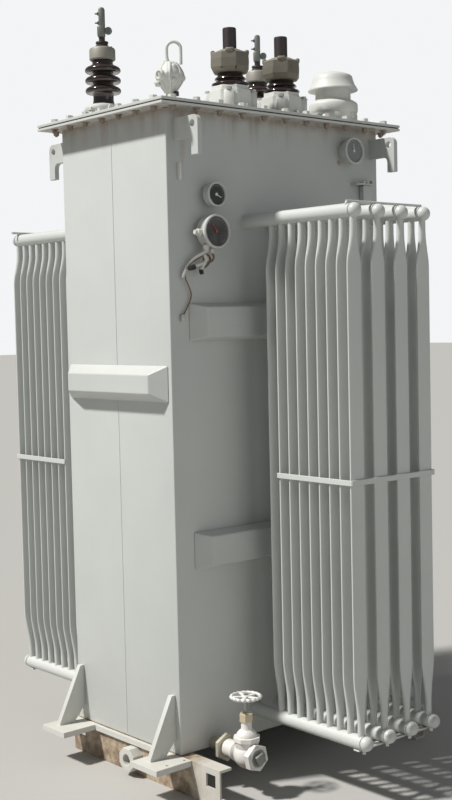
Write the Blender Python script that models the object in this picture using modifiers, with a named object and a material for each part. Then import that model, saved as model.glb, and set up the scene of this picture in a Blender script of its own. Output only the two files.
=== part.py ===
# Single-phase substation transformer: a tall welded tank on two channel skids, with two banks of tube
# radiators, a bolted cover with four bushings, gauges, lifting lugs and a drain valve.
# Metres, +Z up. Z = 0 is the ground, the tank's centre is on the Z axis, X runs along its long side.
# The front (-Y) carries the gauges and the drain valve.
import math

import bmesh
import bpy
from mathutils import Matrix, Vector

# Tank
TANK_LENGTH = 1.02
TANK_WIDTH = 0.61
TANK_HEIGHT = 2.17
WALL = 0.006
CORNER_BEVEL = 0.005
FLOOR_THICKNESS = 0.010
GAP = 0.0003

# Skids: two channels along Y, one under each narrow end
SKID_FRONT_REACH = 0.200
SKID_BACK_REACH = 0.030
SKID_HEIGHT = 0.127
SKID_FLANGE = 0.052
SKID_FLANGE_THICKNESS = 0.009
SKID_WEB = 0.007
SKID_PROUD = 0.001
SLOT_LENGTH = 0.048
SLOT_HEIGHT = 0.045
SLOT_FROM_END = 0.022
SLOT_FROM_TOP = 0.022

# Jacking plates with their gussets
PLATE_THICKNESS = 0.020
PLATE_REACH = 0.149
EAR_WIDTH = 0.140
EAR_FROM_SIDE = 0.033
EAR_FORWARD = 0.020
EAR_HOLE_RADIUS = 0.006
EAR_HOLE_IN = 0.061
EAR_HOLE_SPACING = 0.074
EAR_HOLE_OFFSET = 0.050
LIP_REACH = 0.012
GUSSET_THICKNESS = 0.020
GUSSET_HEIGHT = 0.205
GUSSET_REACH = 0.112
GUSSET_TIP = 0.016
GUSSET_TOE = 0.008
SNIPE_REACH = 0.050
SNIPE_HEIGHT = 0.056

# Bolted top
FLANGE_OVERHANG = 0.063
FLANGE_THICKNESS = 0.0085
GASKET_THICKNESS = 0.003
GASKET_INSET = 0.004
COVER_THICKNESS = 0.0095

# Formed wall stiffeners
STIFFENER_DEPTH = 0.050
END_STIFFENER_BELOW_FLANGE = 0.9113
END_STIFFENER_INSET = 0.015
END_STIFFENER_SLOPE = 0.053
END_STIFFENER_HEIGHT = 0.128
END_STIFFENER_FACE_HEIGHT = 0.066
SIDE_STIFFENER_BELOW_FLANGE = 0.7065
SIDE_STIFFENER_ABOVE_FLOOR = 0.689
SIDE_STIFFENER_INSET = 0.077
SIDE_STIFFENER_SLOPE = 0.045
SIDE_STIFFENER_HEIGHT = 0.130
SIDE_STIFFENER_FACE_HEIGHT = 0.102

# Lifting lugs: hook plates on the long sides
LUG_FROM_END = 0.038
LUG_THICKNESS = 0.019
LUG_TOP_BELOW_FLANGE = 0.036
LUG_HEIGHT = 0.129
LUG_REACH = 0.130
LUG_ARM = 0.035
LUG_BRIDGE = 0.072
LUG_CROWN = 0.024
LUG_NOTCH_CORNER = 0.020
LUG_HOLE_RADIUS = 0.012
LUG_HOLE_IN = 0.028
LUG_HOLE_DOWN = 0.028

# Radiators: rows of flattened tubes between two header pipes
FRONT_ROWS = 4
BACK_ROWS = 8
ROW_PITCH = 0.111
TUBE_COUNT = 9
TUBE_PITCH = 0.047
TUBE_FIRST_OUT = 0.134
TUBE_WIDTH = 0.063
TUBE_THICKNESS = 0.014
TUBE_EDGE = 0.009
NECK_WIDTH = 0.028
NECK_THICKNESS = 0.022
SHOULDER_TOP = 0.175
SHOULDER_BOTTOM = 0.215
NECK_STRAIGHT = 0.034
HEADER_RADIUS = 0.024
HEADER_BELOW_FLANGE = 0.363
HEADER_ABOVE_FLOOR = 0.089
HEADER_END_PAST_TUBE = 0.008
BOTTOM_HEADER_PAST_TOP = 0.016
HEADER_DOME = 0.021
HEADER_SIDES = 10

# Ties of each bank: a rod on the top headers, a bar round the tubes, a strap under the bottom headers
TIE_ROD_RADIUS = 0.0055
TIE_ROD_FROM_END = 0.024
TIE_ROD_PAST_ROW = 0.008
TIE_STRAP_WIDTH = 0.025
TIE_STRAP_THICKNESS = 0.006
TIE_STRAP_FROM_END = 0.006
TIE_STRAP_PAST_ROW = 0.014
TIE_BELOW_MIDDLE = 0.009
TIE_HEIGHT = 0.018
TIE_THICKNESS = 0.006
TIE_FIRST_TUBE = 1
TIE_TURN = 0.004

# High-voltage bushings
HV_FROM_END = 0.128
HV_FROM_SIDE = 0.089
HV_FLANGE_RADIUS = 0.077
HV_FLANGE_HEIGHT = 0.070
HV_BODY_RADIUS = 0.037
HV_SHED_RADIUS = 0.065
HV_SHED_COUNT = 3
HV_SHED_PITCH = 0.037
HV_SHED_START = 0.053
HV_PORCELAIN_HEIGHT = 0.158
HV_CAP_RADIUS = 0.0475
HV_CAP_HEIGHT = 0.047
HV_NECK_RADIUS = 0.025
HV_NECK_HEIGHT = 0.021
HV_STUD_RADIUS = 0.012
HV_STUD_HEIGHT = 0.144
HV_CLAMP_WIDTH = 0.030
HV_CLAMP_DEPTH = 0.034
HV_CLAMP_FOOT = 0.042
HV_LUG_RADIUS = 0.016
HV_LUG_THICKNESS = 0.014
HV_LUG_OUT = 0.024
HV_LUG_UP = 0.062
HV_CLAMP_TURN = -41.0

# Low-voltage bushings
LV_X = 0.124
LV_FROM_SIDE = 0.112
LV_BASE_RADIUS = 0.102
LV_BASE_HEIGHT = 0.082
LV_COLLAR_RADIUS = 0.069
LV_COLLAR_HEIGHT = 0.016
LV_PORCELAIN_RADIUS = 0.045
LV_SHED_RADIUS = 0.067
LV_UPPER_SHED_RADIUS = 0.056
LV_PORCELAIN_HEIGHT = 0.046
LV_NUT_RADIUS = 0.073
LV_NUT_HEIGHT = 0.082
LV_STUD_RADIUS = 0.0245
LV_STUD_HEIGHT = 0.076

# Pressure relief device
RELIEF_FROM_BUSHING = 0.262
RELIEF_FROM_SIDE = 0.105
RELIEF_BASE_RADIUS = 0.094
RELIEF_BASE_HEIGHT = 0.095
RELIEF_NECK_RADIUS = 0.068
RELIEF_NECK_HEIGHT = 0.038
RELIEF_CAP_RADIUS = 0.095
RELIEF_CAP_HEIGHT = 0.074

# Vent fitting with its bent pipe at the near corner
VENT_FROM_END = 0.069
VENT_FROM_SIDE = 0.055
VENT_STEM_RADIUS = 0.016
VENT_STEM_HEIGHT = 0.034
VENT_BODY_RADIUS = 0.048
VENT_BODY_HEIGHT = 0.107
VENT_COCK_RADIUS = 0.021
VENT_COCK_REACH = 0.062
VENT_COCK_UP = 0.070
VENT_PIPE_RADIUS = 0.0055
VENT_PIPE_BACK = 0.010
VENT_PIPE_RISE = 0.041
VENT_PIPE_DROP = 0.052
VENT_ARCH_RADIUS = 0.0235
VENT_TURN = -41.0

# Gauges on the front wall
DIAL_FROM_END = 0.176
SMALL_DIAL_BELOW_FLANGE = 0.280
SMALL_DIAL_RADIUS = 0.043
SMALL_DIAL_DEPTH = 0.032
LARGE_DIAL_FROM_END = 0.159
LARGE_DIAL_BELOW_FLANGE = 0.405
LARGE_DIAL_RADIUS = 0.058
LARGE_DIAL_DEPTH = 0.048
DIAL_STEM_RADIUS = 0.018
DIAL_STAND_OFF = 0.020
LEVEL_FROM_END = 0.170
LEVEL_BELOW_FLANGE = 0.088
LEVEL_RADIUS = 0.050
LEVEL_DEPTH = 0.026
LEVEL_FLANGE_RADIUS = 0.038
LEVEL_FLANGE_DEPTH = 0.024

# Lead from the large dial to a clip on the wall
LEAD_RADIUS = 0.006
CLIP_WIDTH = 0.014
CLIP_HEIGHT = 0.022
CLIP_DEPTH = 0.016
CLIP_PAST_STIFFENER = 0.031
CLIP_ABOVE_STIFFENER = 0.014
LEAD_OFFSET = 0.034

# Drain valve on the front wall
VALVE_FROM_END = 0.145
VALVE_ABOVE_FLOOR = 0.014
VALVE_PIPE_RADIUS = 0.022
VALVE_PIPE_LENGTH = 0.048
VALVE_UNION_RADIUS = 0.050
VALVE_UNION_LENGTH = 0.026
VALVE_THROAT_RADIUS = 0.030
VALVE_BODY_RADIUS = 0.046
VALVE_STEM_OUT = 0.172
VALVE_OUTLET_RADIUS = 0.047
VALVE_OUTLET_LENGTH = 0.026
VALVE_PLUG_WIDTH = 0.034
VALVE_PLUG_LENGTH = 0.015
VALVE_NECK_RADIUS = 0.040
VALVE_NECK_TOP = 0.0475
BONNET_FLANGE_RADIUS = 0.047
BONNET_FLANGE_THICKNESS = 0.016
BONNET_DOME_RADIUS = 0.035
BONNET_DOME_HEIGHT = 0.022
BONNET_NECK_RADIUS = 0.018
BONNET_NECK_HEIGHT = 0.028
GLAND_RADIUS = 0.0245
GLAND_HEIGHT = 0.029
STEM_RADIUS = 0.009
STEM_HEIGHT = 0.046
WHEEL_RADIUS = 0.056
WHEEL_RIM_RADIUS = 0.0062
WHEEL_HUB_RADIUS = 0.014
WHEEL_HUB_HEIGHT = 0.016
WHEEL_SPOKES = 5
SPOKE_WIDTH = 0.010
SPOKE_THICKNESS = 0.006

# Pipe coupling in the left skid's web
COUPLING_RADIUS = 0.045
COUPLING_BORE = 0.020
COUPLING_LENGTH = 0.050
COUPLING_UNDER_PLATE = 0.002
COUPLING_Y = 0.048

ROUND_SIDES = 24
SMALL_SIDES = 16

# Derived places
HALF_LENGTH = TANK_LENGTH / 2
HALF_WIDTH = TANK_WIDTH / 2
TANK_BOTTOM = SKID_HEIGHT
COUPLING_Z = SKID_HEIGHT - PLATE_THICKNESS - COUPLING_UNDER_PLATE - COUPLING_RADIUS
FLANGE_UNDER = TANK_BOTTOM + TANK_HEIGHT
COVER_UNDER = FLANGE_UNDER + FLANGE_THICKNESS + GASKET_THICKNESS + 3 * GAP
COVER_TOP = COVER_UNDER + COVER_THICKNESS
SKID_WEB_X = HALF_LENGTH + SKID_PROUD
SKID_LENGTH = TANK_WIDTH + SKID_FRONT_REACH + SKID_BACK_REACH
SKID_MIDDLE_Y = (SKID_BACK_REACH - SKID_FRONT_REACH) / 2
EAR_CENTRE = HALF_WIDTH - EAR_FROM_SIDE
HEADER_TOP_Z = FLANGE_UNDER - HEADER_BELOW_FLANGE
HEADER_BOTTOM_Z = TANK_BOTTOM + HEADER_ABOVE_FLOOR
HEADER_FLAT = HEADER_RADIUS * math.cos(math.pi / HEADER_SIDES)
SIDE_STIFFENER_UPPER_Z = FLANGE_UNDER - SIDE_STIFFENER_BELOW_FLANGE
SIDE_STIFFENER_LOWER_Z = TANK_BOTTOM + SIDE_STIFFENER_ABOVE_FLOOR
VALVE_X = HALF_LENGTH - VALVE_FROM_END
VALVE_Z = TANK_BOTTOM + VALVE_ABOVE_FLOOR


def clear_scene():
    for obj in list(bpy.data.objects):
        bpy.data.objects.remove(obj, do_unlink=True)


def make_collection(name):
    collection = bpy.data.collections.new(name)
    bpy.context.scene.collection.children.link(collection)
    return collection


def paint(name, color, roughness, metallic=0.0):
    material = bpy.data.materials.new(name)
    material.use_nodes = True
    shader = material.node_tree.nodes["Principled BSDF"]
    shader.inputs["Base Color"].default_value = (*color, 1.0)
    shader.inputs["Roughness"].default_value = roughness
    shader.inputs["Metallic"].default_value = metallic
    return material


def place(name, mesh, material, location=(0, 0, 0), rotation=(0, 0, 0), smooth=False):
    """A finished piece: its own object in the part's collection."""
    if not mesh.materials:
        mesh.materials.append(material)
    if smooth:
        mesh.shade_smooth()
        mesh.set_sharp_from_angle(angle=math.radians(35))
    obj = bpy.data.objects.new(name, mesh)
    obj.location = location
    obj.rotation_euler = rotation
    PART.objects.link(obj)
    return obj


def box_mesh(size, centre=(0, 0, 0)):
    bm = bmesh.new()
    bmesh.ops.create_cube(bm, size=1.0)
    bmesh.ops.scale(bm, vec=size, verts=bm.verts)
    bmesh.ops.translate(bm, vec=centre, verts=bm.verts)
    mesh = bpy.data.meshes.new("box")
    bm.to_mesh(mesh)
    bm.free()
    return mesh


def evaluated_mesh(obj):
    """The object's mesh with its modifiers applied; the object itself is removed."""
    graph = bpy.context.evaluated_depsgraph_get()
    graph.update()
    mesh = bpy.data.meshes.new_from_object(obj.evaluated_get(graph))
    bpy.data.objects.remove(obj, do_unlink=True)
    bm = bmesh.new()
    bm.from_mesh(mesh)
    bmesh.ops.remove_doubles(bm, verts=bm.verts, dist=0.00001)
    bm.to_mesh(mesh)
    bm.free()
    return mesh


def prism_mesh(outlines, depth):
    """Outlines in the XY plane, the later ones holes in the first, made solid by half the depth each way."""
    curve = bpy.data.curves.new("outline", "CURVE")
    curve.dimensions = "2D"
    curve.fill_mode = "BOTH"
    curve.extrude = depth / 2
    for outline in outlines:
        spline = curve.splines.new("POLY")
        spline.points.add(len(outline) - 1)
        for point, (x, y) in zip(spline.points, outline):
            point.co = (x, y, 0.0, 1.0)
        spline.use_cyclic_u = True
    obj = bpy.data.objects.new("outline", curve)
    PART.objects.link(obj)
    return evaluated_mesh(obj)


def turned_mesh(profile, sides=ROUND_SIDES):
    """A solid of revolution about Z. The profile is (radius, height) pairs, top to bottom."""
    mesh = bpy.data.meshes.new("profile")
    points = [(radius, 0.0, height) for radius, height in profile]
    mesh.from_pydata(points, [(i, i + 1) for i in range(len(points) - 1)], [])
    obj = bpy.data.objects.new("profile", mesh)
    PART.objects.link(obj)
    screw = obj.modifiers.new("Turn", "SCREW")
    screw.axis = "Z"
    screw.steps = sides
    screw.render_steps = sides
    screw.use_merge_vertices = True
    screw.merge_threshold = 0.00001
    return evaluated_mesh(obj)


def tube_mesh(points, radius, resolution=2):
    curve = bpy.data.curves.new("tube", "CURVE")
    curve.dimensions = "3D"
    curve.bevel_depth = radius
    curve.bevel_resolution = resolution
    curve.use_fill_caps = True
    spline = curve.splines.new("POLY")
    spline.points.add(len(points) - 1)
    for point, position in zip(spline.points, points):
        point.co = (*position, 1.0)
    obj = bpy.data.objects.new("tube", curve)
    PART.objects.link(obj)
    return evaluated_mesh(obj)


def moved(mesh, matrix):
    mesh.transform(matrix)
    mesh.update()
    return mesh


def combine(base, others, operation="UNION"):
    """Boolean of meshes that share one frame."""
    mesh = base
    for other in others:
        target = bpy.data.objects.new("target", mesh)
        tool = bpy.data.objects.new("tool", other)
        PART.objects.link(target)
        CUTTERS.objects.link(tool)
        tool.hide_render = True
        tool.display_type = "WIRE"
        boolean = target.modifiers.new("Combine", "BOOLEAN")
        boolean.operation = operation
        boolean.solver = "EXACT"
        boolean.object = tool
        mesh = evaluated_mesh(target)
        bpy.data.objects.remove(tool, do_unlink=True)
    return mesh


def arc(centre, radius, start, end, count):
    """Points on an arc, angles in degrees."""
    angles = [math.radians(start + (end - start) * i / (count - 1)) for i in range(count)]
    return [(centre[0] + radius * math.cos(a), centre[1] + radius * math.sin(a)) for a in angles]


def rectangle(length, width):
    x, y = length / 2, width / 2
    return [(-x, -y), (x, -y), (x, y), (-x, y)]


UPRIGHT = Matrix.Rotation(math.radians(90), 4, "X")
TOWARDS_FRONT = (math.radians(90), 0, 0)


def make_skids():
    x_back = SKID_FLANGE
    inner = SKID_FLANGE_THICKNESS
    outline = [(0, 0), (x_back, 0), (x_back, inner), (SKID_WEB, inner), (SKID_WEB, SKID_HEIGHT - inner),
               (x_back, SKID_HEIGHT - inner), (x_back, SKID_HEIGHT), (0, SKID_HEIGHT)]
    channel = moved(prism_mesh([outline], SKID_LENGTH), UPRIGHT)
    slot_y = SKID_LENGTH / 2 - SLOT_FROM_END - SLOT_LENGTH / 2
    middle = SKID_MIDDLE_Y
    slot_z = SKID_HEIGHT - SLOT_FROM_TOP - SLOT_HEIGHT / 2
    slots = [box_mesh((4 * SKID_WEB, SLOT_LENGTH, SLOT_HEIGHT), (SKID_WEB / 2, side * slot_y, slot_z))
             for side in (-1, 1)]
    seat = turned_mesh([(0, SKID_WEB * 3), (COUPLING_RADIUS + GAP, SKID_WEB * 3),
                        (COUPLING_RADIUS + GAP, -SKID_WEB * 3), (0, -SKID_WEB * 3)], 8)
    moved(seat, Matrix.Translation((0, -COUPLING_Y - middle, COUPLING_Z)) @ COUPLING_TURN)
    left = combine(channel.copy(), slots + [seat], "DIFFERENCE")
    right = combine(channel, [box.copy() for box in slots], "DIFFERENCE")
    place("skid_left", left, GREY, (-SKID_WEB_X, middle, 0))
    place("skid_right", right, GREY, (SKID_WEB_X, middle, 0), (0, 0, math.pi))


COUPLING_TURN = Matrix.Rotation(math.radians(-90), 4, "Y") @ Matrix.Rotation(math.radians(22.5), 4, "Z")


def make_coupling():
    """An octagonal pipe coupling through the left skid's web."""
    half = COUPLING_LENGTH / 2
    body = turned_mesh([(0, half), (COUPLING_RADIUS, half), (COUPLING_RADIUS, -half), (0, -half)], 8)
    bore = turned_mesh([(0, COUPLING_LENGTH), (COUPLING_BORE, COUPLING_LENGTH),
                        (COUPLING_BORE, -COUPLING_LENGTH), (0, -COUPLING_LENGTH)], SMALL_SIDES)
    body = combine(body, [bore], "DIFFERENCE")
    moved(body, COUPLING_TURN)
    out = half - SKID_WEB
    place("pipe_coupling", body, GREY, (-SKID_WEB_X - out, -COUPLING_Y, COUPLING_Z))


def ear_holes(end, forward):
    """Two small holes in the ear at one end of a jacking plate."""
    y = end * (EAR_CENTRE + EAR_HOLE_OFFSET) + forward
    return [arc((PLATE_REACH - EAR_HOLE_IN - i * EAR_HOLE_SPACING, y), EAR_HOLE_RADIUS, 0, 300, 6)
            for i in range(2)]


def make_jacking_brackets():
    """One plate a side: an ear at each corner, a narrow lip between them and a gusset on each ear."""
    start = GAP
    lip = LIP_REACH
    out = PLATE_REACH
    inner = EAR_CENTRE - EAR_WIDTH / 2
    outer = EAR_CENTRE + EAR_WIDTH / 2
    foot = -PLATE_THICKNESS / 2
    plate = [(start, -outer), (out, -outer), (out, -inner), (lip, -inner),
             (lip, inner), (out, inner), (out, outer), (start, outer)]
    gusset = [(GAP, SNIPE_HEIGHT), (SNIPE_REACH, 0), (SNIPE_REACH, foot), (GUSSET_REACH, foot),
              (GUSSET_REACH, GUSSET_TOE), (GUSSET_TIP, GUSSET_HEIGHT), (GAP, GUSSET_HEIGHT)]
    for side, name, turn in ((-1, "left", math.pi), (1, "right", 0.0)):
        forward = -side * EAR_FORWARD
        outline = [(x, y + forward) for x, y in plate]
        mesh = prism_mesh([outline] + ear_holes(-1, forward) + ear_holes(1, forward), PLATE_THICKNESS)
        uprights = []
        for end in (-1, 1):
            stand = Matrix.Translation((-SKID_PROUD, end * EAR_CENTRE, -foot)) @ UPRIGHT
            uprights.append(moved(prism_mesh([gusset], GUSSET_THICKNESS), stand))
        place(f"jacking_bracket_{name}", combine(mesh, uprights), GREY,
              (side * SKID_WEB_X, 0, TANK_BOTTOM - PLATE_THICKNESS / 2), (0, 0, turn))


def make_tank():
    outer = rectangle(TANK_LENGTH, TANK_WIDTH)
    inner = rectangle(TANK_LENGTH - 2 * WALL, TANK_WIDTH - 2 * WALL)
    shell = prism_mesh([outer, inner], TANK_HEIGHT - 2 * GAP)
    bm = bmesh.new()
    bm.from_mesh(shell)
    corners = [edge for edge in bm.edges
               if all(abs(abs(v.co.x) - HALF_LENGTH) < 1e-5 and abs(abs(v.co.y) - HALF_WIDTH) < 1e-5
                      for v in edge.verts)]
    bmesh.ops.bevel(bm, geom=corners, offset=CORNER_BEVEL, segments=2, profile=0.5, affect="EDGES")
    bm.to_mesh(shell)
    bm.free()
    place("tank_shell", shell, GREY, (0, 0, TANK_BOTTOM + TANK_HEIGHT / 2))
    floor = box_mesh((TANK_LENGTH - 2 * (WALL + GAP), TANK_WIDTH - 2 * (WALL + GAP), FLOOR_THICKNESS))
    place("tank_floor", floor, GREY, (0, 0, TANK_BOTTOM + GAP + FLOOR_THICKNESS / 2))


def make_top():
    length = TANK_LENGTH + 2 * FLANGE_OVERHANG
    width = TANK_WIDTH + 2 * FLANGE_OVERHANG
    mouth = rectangle(TANK_LENGTH - 2 * WALL, TANK_WIDTH - 2 * WALL)
    flange = prism_mesh([rectangle(length, width), mouth], FLANGE_THICKNESS)
    place("tank_flange", flange, GREY, (0, 0, FLANGE_UNDER + FLANGE_THICKNESS / 2))
    gasket_outer = rectangle(length - 2 * GASKET_INSET, width - 2 * GASKET_INSET)
    gasket = prism_mesh([gasket_outer, mouth], GASKET_THICKNESS)
    place("cover_gasket", gasket, RUBBER,
          (0, 0, FLANGE_UNDER + FLANGE_THICKNESS + GAP + GASKET_THICKNESS / 2))
    cover = box_mesh((length, width, COVER_THICKNESS))
    place("tank_cover", cover, GREY, (0, 0, COVER_UNDER + COVER_THICKNESS / 2))


def stiffener_mesh(length, face_length, height, face_height):
    """A formed cover with sloping edges; its back is on the XZ plane and its face looks along -Y."""
    bm = bmesh.new()
    bmesh.ops.create_cube(bm, size=1.0)
    bmesh.ops.translate(bm, vec=(0, -0.5, 0), verts=bm.verts)
    for vert in bm.verts:
        on_face = vert.co.y < -0.5
        vert.co.x *= face_length if on_face else length
        vert.co.z *= face_height if on_face else height
        vert.co.y = -STIFFENER_DEPTH if on_face else -GAP
    mesh = bpy.data.meshes.new("stiffener")
    bm.to_mesh(mesh)
    bm.free()
    return mesh


def make_stiffeners():
    end_length = TANK_WIDTH - 2 * END_STIFFENER_INSET
    for name, side, turn in (("left", -1, -math.pi / 2), ("right", 1, math.pi / 2)):
        mesh = stiffener_mesh(end_length, end_length - 2 * END_STIFFENER_SLOPE,
                              END_STIFFENER_HEIGHT, END_STIFFENER_FACE_HEIGHT)
        place(f"stiffener_{name}", mesh, GREY,
              (side * HALF_LENGTH, 0, FLANGE_UNDER - END_STIFFENER_BELOW_FLANGE), (0, 0, turn))
    side_length = TANK_LENGTH - 2 * SIDE_STIFFENER_INSET
    for name, side, turn in (("front", -1, 0.0), ("back", 1, math.pi)):
        for level, z in (("upper", SIDE_STIFFENER_UPPER_Z), ("lower", SIDE_STIFFENER_LOWER_Z)):
            mesh = stiffener_mesh(side_length, side_length - 2 * SIDE_STIFFENER_SLOPE,
                                  SIDE_STIFFENER_HEIGHT, SIDE_STIFFENER_FACE_HEIGHT)
            place(f"stiffener_{name}_{level}", mesh, GREY, (0, side * HALF_WIDTH, z), (0, 0, turn))


def lug_mesh():
    """A hook plate: X is out from the wall, Y is up. The notch between wall and arm is open below."""
    arm_inner = LUG_REACH - LUG_ARM
    corner = LUG_NOTCH_CORNER
    crown = LUG_CROWN
    outline = [(GAP, 0.0), (GAP, -LUG_BRIDGE)]
    outline += arc((arm_inner - corner, -LUG_BRIDGE - corner), corner, 90, 0, 5)
    outline += [(arm_inner, -LUG_HEIGHT), (LUG_REACH, -LUG_HEIGHT)]
    outline += arc((LUG_REACH - crown, -crown), crown, 0, 90, 5)
    hole = arc((LUG_REACH - LUG_HOLE_IN, -LUG_HOLE_DOWN), LUG_HOLE_RADIUS, 0, 324, 10)
    return prism_mesh([outline, hole], LUG_THICKNESS)


def make_lugs():
    top = FLANGE_UNDER - LUG_TOP_BELOW_FLANGE
    for side, side_name, turn in ((-1, "front", -math.pi / 2), (1, "back", math.pi / 2)):
        for end, end_name in ((-1, "left"), (1, "right")):
            mesh = moved(lug_mesh(), UPRIGHT)
            place(f"lifting_lug_{side_name}_{end_name}", mesh, GREY,
                  (end * (HALF_LENGTH - LUG_FROM_END), side * HALF_WIDTH, top), (0, 0, turn))


def flattened_tube():
    """One cooling tube: flattened between shoulders, narrow where it enters the headers."""
    half = (HEADER_TOP_Z - HEADER_BOTTOM_Z) / 2
    side = TUBE_WIDTH / 2
    flat = side - TUBE_EDGE
    thick = TUBE_THICKNESS / 2
    section = [(-side, 0), (-flat, -thick), (flat, -thick), (side, 0), (flat, thick), (-flat, thick)]
    bm = bmesh.new()
    bm.from_mesh(prism_mesh([section], 2 * half))
    top_neck = half - HEADER_RADIUS - NECK_STRAIGHT
    top_shoulder = half - SHOULDER_TOP
    bottom_neck = -half + HEADER_RADIUS + NECK_STRAIGHT
    bottom_shoulder = -half + SHOULDER_BOTTOM
    for height in (bottom_neck, bottom_shoulder, top_shoulder, top_neck):
        bmesh.ops.bisect_plane(bm, geom=bm.verts[:] + bm.edges[:] + bm.faces[:],
                               plane_co=(0, 0, height), plane_no=(0, 0, 1))
    for vert in bm.verts:
        if vert.co.z > top_neck - 1e-5 or vert.co.z < bottom_neck + 1e-5:
            vert.co.x *= NECK_WIDTH / TUBE_WIDTH
            vert.co.y *= NECK_THICKNESS / TUBE_THICKNESS
    return bm


def radiator_row_mesh():
    """Two header pipes out from the wall along -Y, with the cooling tubes between them."""
    tubes = bmesh.new()
    middle = (HEADER_TOP_Z + HEADER_BOTTOM_Z) / 2
    for i in range(TUBE_COUNT):
        one = flattened_tube()
        bmesh.ops.translate(one, vec=(0, -TUBE_FIRST_OUT - i * TUBE_PITCH, middle), verts=one.verts)
        mesh = bpy.data.meshes.new("tube")
        one.to_mesh(mesh)
        one.free()
        tubes.from_mesh(mesh)
        bpy.data.meshes.remove(mesh)
    tube_set = bpy.data.meshes.new("tubes")
    tubes.to_mesh(tube_set)
    tubes.free()
    pipe_end = TUBE_FIRST_OUT + (TUBE_COUNT - 1) * TUBE_PITCH + HEADER_END_PAST_TUBE
    top = header_mesh(pipe_end, HEADER_TOP_Z)
    bottom = header_mesh(pipe_end + BOTTOM_HEADER_PAST_TOP, HEADER_BOTTOM_Z)
    return combine(tube_set, [top, bottom])


def header_mesh(pipe_end, z):
    """A header pipe along -Y with a domed cap."""
    dome = [(HEADER_RADIUS * math.cos(a), pipe_end + HEADER_DOME * math.sin(a))
            for a in (math.radians(90), math.radians(60), math.radians(30), 0.0)]
    profile = [(0.0, dome[0][1])] + dome[1:] + [(HEADER_RADIUS, GAP), (0, GAP)]
    return moved(turned_mesh(profile, HEADER_SIDES), Matrix.Translation((0, 0, z)) @ UPRIGHT)


def make_radiators():
    row = radiator_row_mesh()
    for side, name, count, turn in ((-1, "front", FRONT_ROWS, 0.0), (1, "back", BACK_ROWS, math.pi)):
        for i in range(count):
            x = (i - (count - 1) / 2) * ROW_PITCH
            place(f"radiator_{name}_{i + 1}", row, GREY, (x, side * HALF_WIDTH, 0), (0, 0, turn))


def tie_bar_mesh(half_bank):
    """A flat bar round three sides of a bank, seated on the tubes."""
    side_x = half_bank + TUBE_WIDTH / 2 + GAP
    start = TUBE_FIRST_OUT + TIE_FIRST_TUBE * TUBE_PITCH - TUBE_THICKNESS / 2
    end = TUBE_FIRST_OUT + (TUBE_COUNT - 1) * TUBE_PITCH + TUBE_THICKNESS / 2 + GAP
    thick = TIE_THICKNESS
    turn = TIE_TURN
    outline = [(-side_x, -start), (-side_x - thick, -start), (-side_x - thick, -end - thick + turn),
               (-side_x - thick + turn, -end - thick), (side_x + thick - turn, -end - thick),
               (side_x + thick, -end - thick + turn), (side_x + thick, -start), (side_x, -start),
               (side_x, -end), (-side_x, -end)]
    return prism_mesh([outline], TIE_HEIGHT)


def make_ties():
    header_end = TUBE_FIRST_OUT + (TUBE_COUNT - 1) * TUBE_PITCH + HEADER_END_PAST_TUBE
    rod_z = HEADER_TOP_Z + HEADER_FLAT + GAP + TIE_ROD_RADIUS
    rod_y = header_end - TIE_ROD_FROM_END
    strap_y = header_end - TIE_STRAP_FROM_END - TIE_STRAP_WIDTH / 2
    strap_z = HEADER_BOTTOM_Z - HEADER_FLAT - GAP - TIE_STRAP_THICKNESS / 2
    bar_z = (HEADER_TOP_Z + HEADER_BOTTOM_Z) / 2 - TIE_BELOW_MIDDLE
    for side, name, count, angle in ((-1, "front", FRONT_ROWS, 0.0), (1, "back", BACK_ROWS, math.pi)):
        half_bank = (count - 1) / 2 * ROW_PITCH
        rod_half = half_bank + TIE_ROD_PAST_ROW
        strap_size = (2 * (half_bank + TIE_STRAP_PAST_ROW), TIE_STRAP_WIDTH, TIE_STRAP_THICKNESS)
        place(f"tie_bar_{name}", tie_bar_mesh(half_bank), GREY, (0, side * HALF_WIDTH, bar_z), (0, 0, angle))
        rod = tube_mesh([(-rod_half, 0, 0), (rod_half, 0, 0)], TIE_ROD_RADIUS)
        place(f"tie_rod_{name}", rod, GREY, (0, side * (HALF_WIDTH + rod_y), rod_z), smooth=True)
        place(f"tie_strap_{name}", box_mesh(strap_size), GREY, (0, side * (HALF_WIDTH + strap_y), strap_z))


def make_hv_bushing(number, x):
    """Flange, shedded porcelain and clamp terminal of a high-voltage bushing, stacked from the cover up."""
    base = COVER_TOP + GAP
    step = HV_FLANGE_RADIUS - HV_BODY_RADIUS
    flange = [(0, HV_FLANGE_HEIGHT), (HV_BODY_RADIUS + step * 0.7, HV_FLANGE_HEIGHT),
              (HV_FLANGE_RADIUS, HV_FLANGE_HEIGHT * 0.85), (HV_FLANGE_RADIUS, 0), (0, 0)]
    y = HALF_WIDTH - HV_FROM_SIDE
    place(f"hv_flange_{number}", turned_mesh(flange), GREY, (x, y, base), smooth=True)
    top = HV_PORCELAIN_HEIGHT
    profile = [(0, top), (HV_BODY_RADIUS, top)]
    for i in reversed(range(HV_SHED_COUNT)):
        level = HV_SHED_START + i * HV_SHED_PITCH
        profile += [(HV_BODY_RADIUS, level + HV_SHED_PITCH * 0.42),
                    (HV_SHED_RADIUS, level + HV_SHED_PITCH * 0.1),
                    (HV_SHED_RADIUS, level - HV_SHED_PITCH * 0.14),
                    (HV_BODY_RADIUS, level - HV_SHED_PITCH * 0.34)]
    profile += [(HV_BODY_RADIUS, 0), (0, 0)]
    body_z = base + HV_FLANGE_HEIGHT + GAP
    place(f"hv_porcelain_{number}", turned_mesh(profile), PORCELAIN, (x, y, body_z), smooth=True)
    place(f"hv_terminal_{number}", hv_terminal_mesh(), CAST,
          (x, y, body_z + HV_PORCELAIN_HEIGHT + GAP), (0, 0, math.radians(HV_CLAMP_TURN)))


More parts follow.
